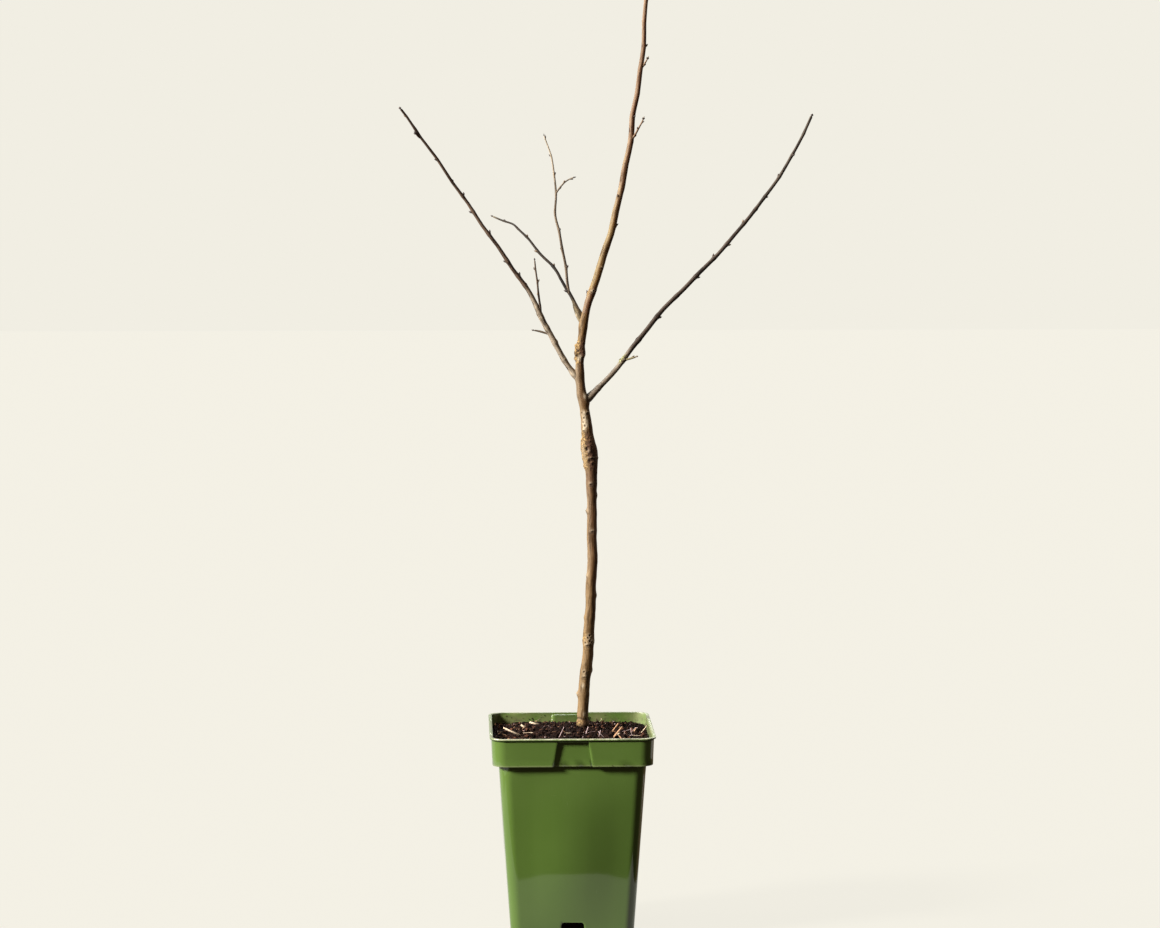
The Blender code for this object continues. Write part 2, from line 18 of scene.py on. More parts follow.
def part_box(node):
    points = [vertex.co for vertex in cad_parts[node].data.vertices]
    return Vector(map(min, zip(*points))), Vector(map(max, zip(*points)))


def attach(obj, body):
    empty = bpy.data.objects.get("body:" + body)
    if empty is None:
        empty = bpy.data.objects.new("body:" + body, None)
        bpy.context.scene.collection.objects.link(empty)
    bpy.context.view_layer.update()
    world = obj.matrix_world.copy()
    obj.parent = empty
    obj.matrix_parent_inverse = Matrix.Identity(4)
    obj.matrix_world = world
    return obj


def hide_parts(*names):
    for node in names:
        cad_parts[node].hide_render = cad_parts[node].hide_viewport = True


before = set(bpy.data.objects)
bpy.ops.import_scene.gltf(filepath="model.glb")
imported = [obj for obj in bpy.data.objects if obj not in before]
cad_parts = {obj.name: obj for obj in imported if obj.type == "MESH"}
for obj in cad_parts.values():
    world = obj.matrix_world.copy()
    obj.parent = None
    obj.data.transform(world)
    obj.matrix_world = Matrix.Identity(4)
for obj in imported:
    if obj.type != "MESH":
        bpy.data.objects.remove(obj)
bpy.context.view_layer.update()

_, POT_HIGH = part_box("pot")
_, SOIL_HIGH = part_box("soil")

# ---- pot ----
POT_HEIGHT = POT_HIGH.z
LIP_HALF = POT_HIGH.x
WALL = 0.0018
LIP_UNDER = POT_HEIGHT - WALL
BAND_TOP_HALF = LIP_HALF - 0.0018
BAND_FOOT_HALF = LIP_HALF - 0.0029
BODY_TOP_HALF = LIP_HALF - 0.0099
BODY_FOOT_HALF = LIP_HALF - 0.0235
FOOT_CORNER = 0.0118
LEDGE = POT_HEIGHT - 0.0309
CORNER_STEPS = 9
SIDE_COLUMNS = 16
BODY_ROWS = 15
BAND_ROWS = 3
FRONT_BULGE = 0.0058
SIDE_BULGE = 0.0009
EDGE_ROUND = 0.0008
SHARP_EDGE = 38.0       # in degrees, on the pot
CRAGGY_EDGE = 60.0      # in degrees, on soil and wood

RECESS_TOP_HALF = 0.0171
RECESS_FOOT_HALF = 0.0215
RECESS_TOP = 0.2274
RECESS_FACE = 0.0846
RECESS_DRAFT = 0.0009
WINDOW_TOP_HALF = 0.0120
WINDOW_FOOT_HALF = 0.0145
WINDOW_HEIGHT = 0.0252
WINDOW_REACH = 0.0160
WINDOW_ROUND = 0.0026
ROUND_SHARE = 0.29
RECESS_COLUMNS = 3
TRIM = 0.0022
RECESS_PUSH = 0.0040
WELD = 0.0002
SEAM_WELD = 1e-6
CLOSE = 1e-5

# ---- soil ----
SOIL_EDGE = 0.2195
SOIL_TOP = SOIL_HIGH.z
SOIL_GAP = 0.0004
SOIL_CELLS = 180
LUMP = 0.0029
SOIL_CORNER = 0.0135
CORNER_SPARE = 0.0005
MOUND_DROP = 0.0012
CALM_REACH = 0.012
FLOOR_EXTRA = 0.0004
WINDOW_SPARE = 0.001
RECESS_SPARE = 0.002
STEM_CLEARANCE = 0.0072
CARVE_DEPTH = 0.1
# The soil is paler and more mixed to the left and to the right of these places across the pot.
MIX_LEFT, MIX_RIGHT = -0.044, 0.028
# Crumbs: how many, smallest and largest radius, their first template and how many they use.
CRUMBS = (
    (46, 0.0016, 0.0030, 0, 4), (420, 0.0010, 0.0020, 4, 5), (1900, 0.0006, 0.0012, 9, 5),
    (1300, 0.0003, 0.0007, 9, 5),
)
CRUMB_DETAIL = (3,) * 4 + (2,) * 5 + (1,) * 5
SPECKS = 46
# Flakes: how many, smallest and largest length.
FLAKES = ((150, 0.0014, 0.0042), (260, 0.0007, 0.0015))
FLAKE_KINDS, STRAW_KINDS = 5, 8
STRAWS = (46, 0.006, 0.016)
THINNEST_CHIP = 0.0010
CHIP_WIDTH, CHIP_HALF_THICKNESS = 0.38, 0.13
CHIP_SEED = 5

# ---- wood ----
UP = Vector((0.0, 0.0, 1.0))
NODE_HALF = 0.0035
HEADING_STEP = 0.0020
SWAY_FADE = 0.0200
HEALED_FADE = 0.0018
TOUCH_STEPS = 60
NODE_SWELL = 0.14
NODE_TURN = math.radians(144.0)
TURN_JITTER = math.radians(25.0)
BUD_LENGTH = (0.0026, 0.0040)
BUD_RADIUS = 0.0010
BUD_LEAN = math.radians(38.0)
BUD_SINK = 0.45
BUD_ROOT = 0.0008
SPUR_STEP = 0.006
SPUR_RADIUS = 0.0013
SPUR_TIP_RADIUS = 0.0006
SPUR_SHARE = 0.75
YOUNG_SHARE = 0.55
SIDE_YOUNG_SHARE = 0.05
TWIG_SPACE = 0.070
LIMB_MARGIN = 0.0015
# The bearing round each limb of the side painted as lit; bark turned away from it is painted in
# shade.
PAINTED_LIT_SIDE = math.radians(198.0)
# How finely the bark is laid: sides round each kind of wood, and the steps along it.
TRUNK_SIDES, LEADER_SIDES, BOUGH_SIDES, TWIG_SIDES, SPUR_SIDES = 60, 40, 32, 16, 12
WOOD_STEP, TWIG_STEP, SPUR_RING_STEP = 0.0005, 0.0007, 0.0006
TRUNK_SUNK = -0.004
TREE_FOOT = (0.0140, 0.0200)
GROUND = 0.2290
FORK_HEIGHT = 0.6860
LEADER_END_HEIGHT = 0.8700

MAIN_STEM_BENDS = (
    (TREE_FOOT[0], TREE_FOOT[1], GROUND), (0.0143, 0.0199, 0.2520), (0.0192, 0.0180, 0.3050),
    (0.0222, 0.0155, 0.3600), (0.0244, 0.0140, 0.4300), (0.0238, 0.0152, 0.4625),
    (0.0241, 0.0165, 0.4900), (0.0213, 0.0195, 0.5350), (0.0164, 0.0200, 0.5750),
    (0.0113, 0.0195, 0.6120), (0.0110, 0.0190, 0.6400), (0.0130, 0.0193, 0.6580),
    (0.0152, 0.0196, 0.6760), (0.0253, 0.0214, 0.7134), (0.0370, 0.0242, 0.7485),
    (0.0475, 0.0269, 0.7835), (0.0592, 0.0305, 0.8361), (0.0676, 0.0345, 0.8800),
    (0.0700, 0.0358, 0.9040), (0.0736, 0.0370, 0.9237), (0.0805, 0.0395, 0.9700),
    (0.0839, 0.0420, 1.0287), (0.0885, 0.0430, 1.0900), (0.0880, 0.0450, 1.1500),
)
RIGHT_BOUGH_BENDS = (
    (0.0140, 0.0200, 0.5870), (0.0265, 0.0220, 0.5985), (0.0440, 0.0270, 0.6160),
    (0.0725, 0.0360, 0.6508), (0.1009, 0.0455, 0.6853), (0.1370, 0.0560, 0.7209),
    (0.1720, 0.0660, 0.7561), (0.2023, 0.0757, 0.7912), (0.2301, 0.0855, 0.8265),
    (0.2530, 0.0952, 0.8620), (0.2747, 0.1050, 0.9044),
)
LEFT_BOUGH_BENDS = (
    (0.0113, 0.0195, 0.6110), (0.0038, 0.0190, 0.6203), (-0.0124, 0.0182, 0.6458),
    (-0.0254, 0.0172, 0.6697), (-0.0424, 0.0150, 0.7050), (-0.0660, 0.0115, 0.7403),
    (-0.0906, 0.0075, 0.7755), (-0.1266, 0.0010, 0.8278), (-0.1561, -0.0050, 0.8702),
    (-0.1859, -0.0100, 0.9113),
)
UPPER_LEFT_BOUGH_BENDS = (
    (0.0152, 0.0198, 0.6728), (0.0083, 0.0262, 0.6894), (0.0045, 0.0330, 0.6990),
    (-0.0037, 0.0400, 0.7125), (-0.0129, 0.0480, 0.7299), (-0.0287, 0.0600, 0.7473),
    (-0.0517, 0.0766, 0.7735), (-0.0610, 0.0850, 0.7822), (-0.0720, 0.0930, 0.7855),
    (-0.0853, 0.1000, 0.7918),
)
UPRIGHT_TWIG_BENDS = (
    (-0.0005, 0.0368, 0.7068), (-0.0024, 0.0415, 0.7214), (-0.0045, 0.0460, 0.7390),
    (-0.0111, 0.0510, 0.7741), (-0.0149, 0.0540, 0.7917), (-0.0146, 0.0580, 0.8130),
    (-0.0158, 0.0615, 0.8360), (-0.0185, 0.0650, 0.8530), (-0.0271, 0.0700, 0.8821),
)

# Swellings of a limb: (distance from its foot, added radius, half length).
ROOT_FLARE = (0.000, 0.0010, 0.0045)
GRAFT_FOOT = (0.270, 0.0008, 0.0120)
GRAFT_UNION = (0.305, 0.0040, 0.0185)
GRAFT_SHOULDER = (0.331, 0.0005, 0.0060)
FORK_COLLAR = (0.370, 0.0006, 0.0100)
OLD_WOUND = (0.416, 0.0015, 0.0060)
BOUGH_COLLAR = (0.010, 0.0014, 0.0100)
LEFT_COLLAR = (0.006, 0.0004, 0.0080)
LEFT_GIRTH = (0.070, 0.0004, 0.0400)
UPPER_LEFT_COLLAR = (0.013, 0.0019, 0.0120)

# Marks on the bark: (distance from the foot, bearing round the limb in degrees, kind). Bearing
# 0 is the right-hand side, 90 the back, 180 the left and 270 the front.
STEM_MARKS = (
    (0.0120, 285, "patch"), (0.0335, 180, "stub"), (0.0445, 255, "patch"), (0.0544, 262, "scar"),
    (0.0600, 250, "eye"), (0.0619, 5, "bump"), (0.0905, 258, "scar"), (0.0940, 300, "eye"),
    (0.0930, 238, "eye"), (0.0952, 283, "eye"), (0.0985, 262, "eye"), (0.1015, 281, "eye"),
    (0.1208, 188, "bump"), (0.3320, 243, "patch"), (0.3370, 236, "patch"), (0.3410, 250, "patch"),
    (0.3455, 240, "patch"), (0.3490, 232, "eye"), (0.3345, 252, "eye"), (0.3385, 232, "eye"),
    (0.3432, 250, "eye"), (0.3350, 268, "patch"), (0.3400, 274, "patch"), (0.3445, 266, "patch"),
    (0.3490, 258, "patch"), (0.0955, 318, "patch"), (0.4834, 262, "scar"), (0.4852, 288, "eye"),
    (0.4110, 266, "patch"), (0.4125, 300, "knob"), (0.1461, 352, "bump"), (0.1670, 196, "scar"),
    (0.1905, 60, "bump"), (0.2173, 275, "scar"), (0.2389, 182, "stub"), (0.2568, 0, "bump"),
    (0.2695, 264, "scar"), (0.2820, 110, "bump"), (0.3295, 235, "scar"), (0.3485, 300, "scar"),
    (0.3700, 80, "bump"), (0.4082, 190, "knob"), (0.4140, 232, "knob"), (0.4231, 178, "knob"),
    (0.4262, 128, "knob"), (0.4430, 50, "bump"), (0.4805, 180, "bud"), (0.5120, 300, "scar"),
    (0.5360, 130, "bud"), (0.5606, 0, "bud"), (0.5915, 232, "bud"), (0.6210, 60, "bud"),
)
RIGHT_MARKS = (
    (0.0080, 262, "patch"), (0.0240, 180, "scar"), (0.0640, 195, "knob"), (0.0670, 290, "knob"),
    (0.0668, 280, "crust"), (0.0945, 172, "bump"), (0.1286, 355, "bud"), (0.1600, 95, "bump"),
    (0.1917, 5, "bud"), (0.2212, 186, "bud"), (0.2423, 350, "bud"), (0.2732, 178, "bud"),
    (0.2938, 60, "bud"),
)
LEFT_MARKS = (
    (0.0100, 262, "patch"), (0.0130, 240, "patch"), (0.0300, 300, "scar"), (0.0700, 250, "patch"),
    (0.0830, 262, "patch"), (0.0960, 250, "patch"), (0.3290, 20, "patch"), (0.3650, 190, "patch"),
    (0.3330, 60, "bump"), (0.0518, 0, "bump"), (0.0880, 200, "bump"), (0.1235, 12, "bump"),
    (0.1358, 2, "bud"), (0.1560, 186, "bud"), (0.1924, 4, "bud"), (0.2220, 180, "bud"),
    (0.2428, 6, "bud"),
)
UPPER_LEFT_MARKS = (
    (0.0080, 190, "patch"), (0.0130, 200, "patch"), (0.0250, 120, "bump"), (0.0452, 186, "bud"),
    (0.0788, 0, "bud"), (0.1049, 186, "bud"), (0.1267, 5, "bud"),
)

# Share of the other bark along the trunk and the leader: (distance from the stem's foot, share).
STEM_TONES = ((0.00, 0.10), (0.15, 0.15), (0.20, 0.75), (0.285, 0.85), (0.325, 0.0),
              (0.345, 0.0), (0.362, 0.5), (0.408, 0.5), (0.425, 0.1), (0.462, 0.1),
              (0.471, 1.0))
LEADER_TONES = ((0.483, 1.0), (0.491, 0.0), (0.56, 0.0), (0.60, 1.0))
# Where each bough's old pale bark ends, how softly, and the one bough painted as lit on another side.
OLD_BARK_ENDS = {"right_bough": 0.066, "left_bough": 0.105, "upper_left_bough": 0.018}
OLD_BARK_FADE = 0.02
LIT_SIDES = {"left_bough": math.radians(222)}

# Healed wood on the stem: where it starts and ends, how rough it is, the bearing of its worst
# side and how much smoother the other side is.
STEM_HEALED = (
    (0.0885, 0.1035, 0.00030, 265, 1.0), (0.286, 0.328, 0.00085, 208, 0.90),
    (0.404, 0.430, 0.00085, 205, 0.55), (0.4805, 0.4880, 0.00055, 270, 0.40),
)
# Spots on the stem: what changes there and by how much, the spot's distance from the foot, its
# bearing, half its height and half its width.
STEM_SPOTS = (
    ("relief", 0.0008, 0.4090, 266, 0.0020, 0.0013), ("pale", 2.6, 0.4090, 258, 0.0020, 0.0014),
    ("relief", 0.0013, 0.2890, 192, 0.0036, 0.0070),
    ("relief", -0.0030, 0.3088, 250, 0.0021, 0.0014),
    ("relief", 0.0012, 0.3060, 270, 0.0024, 0.0019), ("pale", 0.45, 0.3064, 264, 0.0022, 0.0012),
    # The wide scar spots at 0.3030 and 0.2745 are painted shade round the front-right of the graft
    # and under it.
    ("scar", 1.6, 0.3092, 249, 0.0020, 0.0013), ("scar", 0.40, 0.3030, 296, 0.0160, 0.0052),
    # The long pale spots at bearings 205 and 214 are painted highlights on the lit left flank of the
    # graft and the fork.
    ("scar", 0.42, 0.2745, 290, 0.0110, 0.0062), ("pale", 0.35, 0.3820, 205, 0.0230, 0.0030),
    ("pale", 0.38, 0.3040, 214, 0.0125, 0.0036), ("relief", 0.0026, 0.3605, 2, 0.0060, 0.0055),
    ("relief", 0.0026, 0.3905, 180, 0.0068, 0.0055),
    ("relief", 0.0013, 0.3665, 318, 0.0042, 0.0030), ("pale", 0.9, 0.3672, 304, 0.0032, 0.0018),
    ("relief", 0.0014, 0.4460, 170, 0.0075, 0.0055),
)
# Hollows in the old wound: distance from the foot, bearing and half width.
WOUND_HOLLOWS = ((0.4188, 222, 0.0010), (0.4146, 214, 0.0013), (0.4122, 238, 0.0009),
                 (0.4172, 246, 0.0010))

MAIN_STEM = {
    "bends": MAIN_STEM_BENDS, "foot_radius": 0.0062, "tip_radius": 0.0015, "taper": 1.25,
    "node_step": 0.0262, "first_node": 0.0262, "sway": 0.0005, "marks": STEM_MARKS,
    "node_swell": 0.030,
    "swellings": (ROOT_FLARE, GRAFT_FOOT, GRAFT_UNION, GRAFT_SHOULDER, FORK_COLLAR, OLD_WOUND),
}
RIGHT_BOUGH = {
    "bends": RIGHT_BOUGH_BENDS, "foot_radius": 0.0030, "tip_radius": 0.0015,
    "node_step": 0.0285, "first_node": 0.0270, "sway": -0.0003, "marks": RIGHT_MARKS,
    "swellings": (BOUGH_COLLAR,),
}
LEFT_BOUGH = {
    "bends": LEFT_BOUGH_BENDS, "foot_radius": 0.0031, "tip_radius": 0.0013, "taper": 0.75,
    "node_step": 0.0290, "first_node": 0.0300, "sway": -0.0005, "marks": LEFT_MARKS,
    "swellings": (LEFT_COLLAR, LEFT_GIRTH),
}
UPPER_LEFT_BOUGH = {
    "bends": UPPER_LEFT_BOUGH_BENDS, "foot_radius": 0.0021, "tip_radius": 0.0009,
    "node_step": 0.0200, "first_node": 0.0230, "sway": -0.0005, "marks": UPPER_LEFT_MARKS,
    "swellings": (UPPER_LEFT_COLLAR,),
}
UPRIGHT_TWIG = {
    "bends": UPRIGHT_TWIG_BENDS, "foot_radius": 0.0015, "tip_radius": 0.0006, "taper": 2.0,
    "node_step": 0.0210, "first_node": 0.0300, "sway": 0.0004,
}
SIDE_TWIG = {
    "foot_radius": 0.0013, "tip_radius": 0.0008,
    "node_step": 0.0140, "first_node": 0.0120, "sway": 0.0002,
}
SPUR = {"node_step": 0.0090, "first_node": 0.0070, "sway": 0.0002}

# Side twigs of a mass: a node's number to the twig's (aim, length, bend to the sky).
LEADER_SPURS = {
    0: ((0.50, -0.30, 0.75), 0.031, 0.5),
    3: ((0.50, -0.10, 0.70), 0.017, 0.3),
    6: ((-0.60, 0.40, 0.80), 0.014, 0.4),
    8: ((0.40, 0.60, 0.80), 0.011, 0.4),
}
LEADER_SEED, LEADER_TURN = 11, 2.6
UPRIGHT_SEED, UPRIGHT_TURN = 57, 0.0
SIDE_TURN = 1.5
LEFT_SPURS = {2: ((-0.75, -0.30, 0.45), 0.011, 0.9)}
UPRIGHT_SPURS = {4: ((0.55, -0.30, 0.85), 0.031, -0.8)}

# Boughs: name, limb, height where its twigs take over, their seed, first turn and spurs.
BOUGHS = (
    ("right_bough", RIGHT_BOUGH, 0.800, 23, 0.4, {}),
    ("left_bough", LEFT_BOUGH, 0.8142, 31, 1.2, LEFT_SPURS),
    ("upper_left_bough", UPPER_LEFT_BOUGH, 0.784, 43, 0.2, {}),
)
# Twigs on the side of a bough: name, bough, height, aim, length, bend to the sky, seed.
SIDE_TWIGS = (
    ("left_rising_twigs", "left_bough", 0.6821, (-0.12, -0.15, 1.00), 0.066, 0.0, 61),
    ("left_spur_twigs", "left_bough", 0.6626, (-0.90, 0.10, 0.30), 0.021, -0.2, 67),
    ("right_spur_twigs", "right_bough", 0.6330, (0.85, -0.45, 0.30), 0.019, 0.0, 71),
)

# ---- stage ----
CAMERA_AT = (-0.1232, -3.8807, 0.885)
CAMERA_AIM = (0.0103, 0.0, 0.5216)
LENS = 110.14
SENSOR_WIDTH = 36.0
NEAREST, FARTHEST = 0.1, 60.0
CREAM = (0.880, 0.855, 0.768)
FLOOR_EDGE = -0.268
FLOOR_LEFT = -0.60
FLOOR_REAR = 0.45
FLOOR_WIDE = 6.0
FLOOR_FRONT = -8.0
FLOOR_BACK = 12.0
FLOOR_GLOW = 0.955
FLOOR_DULL = 0.032
# Far lights: name, bearing from the front to the left, height, strength, spread and colour.
SUNS = (
    ("key", 65, 27, 9.0, 12.0, (1.0, 0.965, 0.91)),
    ("top_left", 80, 68, 1.0, 40.0, (1.0, 0.97, 0.93)),
    ("side_left", 86, 20, 1.8, 20.0, (1.0, 0.96, 0.90)),
    ("fill_right", -118, 14, 0.55, 60.0, (1.0, 1.0, 1.0)),
    ("fill_back", 178, 42, 1.2, 20.0, (1.0, 1.0, 1.0)),
)


# ---------------------------------------------------------------- modelling by hand
def deselect():
    """Leave nothing selected."""
    bpy.ops.object.select_all(action="DESELECT")


def choose(piece):
    """Select just one piece and make it the active one."""
    deselect()
    piece.select_set(True)
    bpy.context.view_layer.objects.active = piece


def choose_all():
    """In edit mode, select the whole mesh."""
    bpy.ops.mesh.select_all(action="SELECT")


@contextmanager
def editing(piece):
    """Edit mode on one piece, and back to object mode afterwards."""
    choose(piece)
    bpy.ops.object.mode_set(mode="EDIT")
    yield
    bpy.ops.object.mode_set(mode="OBJECT")


def pick(piece, mode, test):
    """In edit mode, select just the edges or the faces that pass the test."""
    bpy.ops.mesh.select_mode(type=mode)
    bpy.ops.mesh.select_all(action="DESELECT")
    bm = bmesh.from_edit_mesh(piece.data)
    for part in bm.edges if mode == "EDGE" else bm.faces:
        if test(part):
            part.select_set(True)
    bmesh.update_edit_mesh(piece.data)


def delete_faces(piece, test):
    """In edit mode, delete the faces that pass the test."""
    pick(piece, "FACE", test)
    bpy.ops.mesh.delete(type="FACE")


def turn_faces(inside=False):
    """In edit mode, point every face the same way: out, or in."""
    choose_all()
    bpy.ops.mesh.normals_make_consistent(inside=inside)


def fresh(name):
    """Name the primitive that was just added."""
    made = bpy.context.object
    made.name = name
    made.data.name = name
    return made


def apply_modifier(piece, kind, **settings):
    """Add a modifier with its settings and apply it."""
    modifier = piece.modifiers.new(kind.lower(), kind)
    for key, value in settings.items():
        setattr(modifier, key, value)
    choose(piece)
    bpy.ops.object.modifier_apply(modifier=modifier.name)


def smooth_by_angle(piece, degrees):
    """Shade a piece smooth, apart from edges sharper than the angle."""
    choose(piece)
    bpy.ops.object.shade_smooth_by_angle(angle=math.radians(degrees))


def lift(distance, share=1.0):
    """Extrude the selected edges up by a distance and scale the new ones about the Z axis."""
    bpy.ops.mesh.extrude_region_move(TRANSFORM_OT_translate={"value": (0.0, 0.0, distance)})
    bpy.ops.transform.resize(value=(share, share, 1.0), center_override=(0.0, 0.0, 0.0))


def join(name, pieces):
    """Join pieces into the first one."""
    choose(pieces[0])
    for piece in pieces:
        piece.select_set(True)
    if len(pieces) > 1:
        bpy.ops.object.join()
    return fresh(name)


def add_object(name, data):
    """A new object in the scene for a mesh, a light or a camera."""
    made = bpy.data.objects.new(name, data)
    bpy.context.scene.collection.objects.link(made)
    return made


def finish_piece(piece, nodes, slot, *materials):
    """Give a piece its finish and its place on the plant's one body."""
    for material in materials:
        piece.data.materials.append(material)
    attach(piece, "root")
    if nodes:
        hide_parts(*nodes)
    return piece


def joined_copies(name, stock, places):
    """One mesh of many small copies.

    stock lists templates as (points, faces). places lists copies as (template's number,
    3 by 3 turn and size, position, material's number).
    """
    points, faces, paints = [], [], []
    count = 0
    for number, shape, position, paint in places:
        template, sides = stock[number]
        points.append(template @ np.array(shape).T + np.array(position))
        faces.extend(tuple(index + count for index in side) for side in sides)
        paints.extend([paint] * len(sides))
        count += len(template)
    mesh = bpy.data.meshes.new(name)
    mesh.from_pydata(np.concatenate(points).tolist(), [], faces)
    mesh.polygons.foreach_set("material_index", paints)
    mesh.shade_smooth()
    return add_object(name, mesh)


def take_template(piece):
    """A modelled piece's points and faces, for copies. The piece itself is removed."""
    mesh = piece.data
    points = np.array([vertex.co for vertex in mesh.vertices])
    faces = [tuple(polygon.vertices) for polygon in mesh.polygons]
    bpy.data.objects.remove(piece)
    return points, faces


# ---------------------------------------------------------------- finishes
class Wire:
    """A socket of a material's nodes. Arithmetic on wires adds their Math nodes."""

    def __init__(self, tree, socket=None):
        self.tree = tree
        self.socket = socket

    def node(self, kind, settings=(), sockets=(), out=0):
        """Any node: its settings first, then its sockets' values or wires."""
        made = self.tree.nodes.new(kind)
        for key, value in dict(settings).items():
            setattr(made, key, value)
        for key, value in dict(sockets).items():
            self.plug(made.inputs[key], value)
        return Wire(self.tree, made.outputs[out] if made.outputs else None)

    def plug(self, target, value):
        """Link a wire to a node's socket, or set the socket's own value."""
        if isinstance(value, Wire):
            self.tree.links.new(value.socket, target)
        elif target.type == "RGBA":
            target.default_value = (*value, 1.0)
        else:
            target.default_value = value

    def maths(self, operation, *values):
        """A Math node on wires and numbers."""
        return self.node("ShaderNodeMath", {"operation": operation}, enumerate(values))

    def __add__(self, other):
        return self.maths("ADD", self, other)

    def __radd__(self, other):
        return self.maths("ADD", other, self)

    def __sub__(self, other):
        return self.maths("SUBTRACT", self, other)

    def __rsub__(self, other):
        return self.maths("SUBTRACT", other, self)

    def __mul__(self, other):
        return self.maths("MULTIPLY", self, other)

    def __rmul__(self, other):
        return self.maths("MULTIPLY", other, self)

    def clamp(self):
        """Kept between 0 and 1."""
        return self.node("ShaderNodeClamp", (), {0: self})

    def between(self, low, high):
        """0 below low, 1 above high, and smooth in between. low may be above high."""
        return self.node("ShaderNodeMapRange", {"interpolation_type": "SMOOTHSTEP"},
                         {0: self, 1: low, 2: high, 3: 0.0, 4: 1.0})

    def blend(self, first, second):
        """Colour first where this wire is 0 and colour second where it is 1."""
        return self.node("ShaderNodeMix", {"data_type": "RGBA"},
                         {0: self, 6: first, 7: second}, out=2)

    def axes(self):
        """The X, Y and Z of a place or a direction."""
        split = self.node("ShaderNodeSeparateXYZ", (), {0: self}).socket.node
        return [Wire(self.tree, socket) for socket in split.outputs]

    def stretch(self, x, y, z):
        """A place scaled along its three axes."""
        return self.node("ShaderNodeMapping", (), {0: self, 3: (x, y, z)})

    def noise(self, scale, detail=3.0, rough=0.55, skew=0.0):
        """Soft noise at a place. skew pulls it about."""
        return self.node("ShaderNodeTexNoise", (),
                         {"Vector": self, "Scale": scale, "Detail": detail,
                          "Roughness": rough, "Distortion": skew})

    def cells(self, scale, feature="F1"):
        """Distance to the middle of the nearest cell, or to its edge."""
        return self.node("ShaderNodeTexVoronoi", {"feature": feature},
                         {"Vector": self, "Scale": scale}, out="Distance")


def start_finish(name):
    """A material with a bare Principled shader: the material, a wire to build from, the shader."""
    material = bpy.data.materials.new(name)
    material.use_nodes = True
    tree = material.node_tree
    return material, Wire(tree), tree.nodes["Principled BSDF"]


def bare_wire(owner):
    """A wire to build a material's or the world's nodes from, with none there yet."""
    owner.use_nodes = True
    owner.node_tree.nodes.clear()
    return Wire(owner.node_tree)


def feed(wire, shader, **sockets):
    """Link or set the shader's sockets, named with underscores for spaces."""
    for key, value in sockets.items():
        wire.plug(shader.inputs[key.replace("_", " ")], value)


def bump(wire, height, depth, strength, under=None):
    """Slight relief for the Normal socket, over another where under is given."""
    sockets = {"Height": height, "Distance": depth, "Strength": strength}
    if under:
        sockets["Normal"] = under
    return wire.node("ShaderNodeBump", (), sockets)


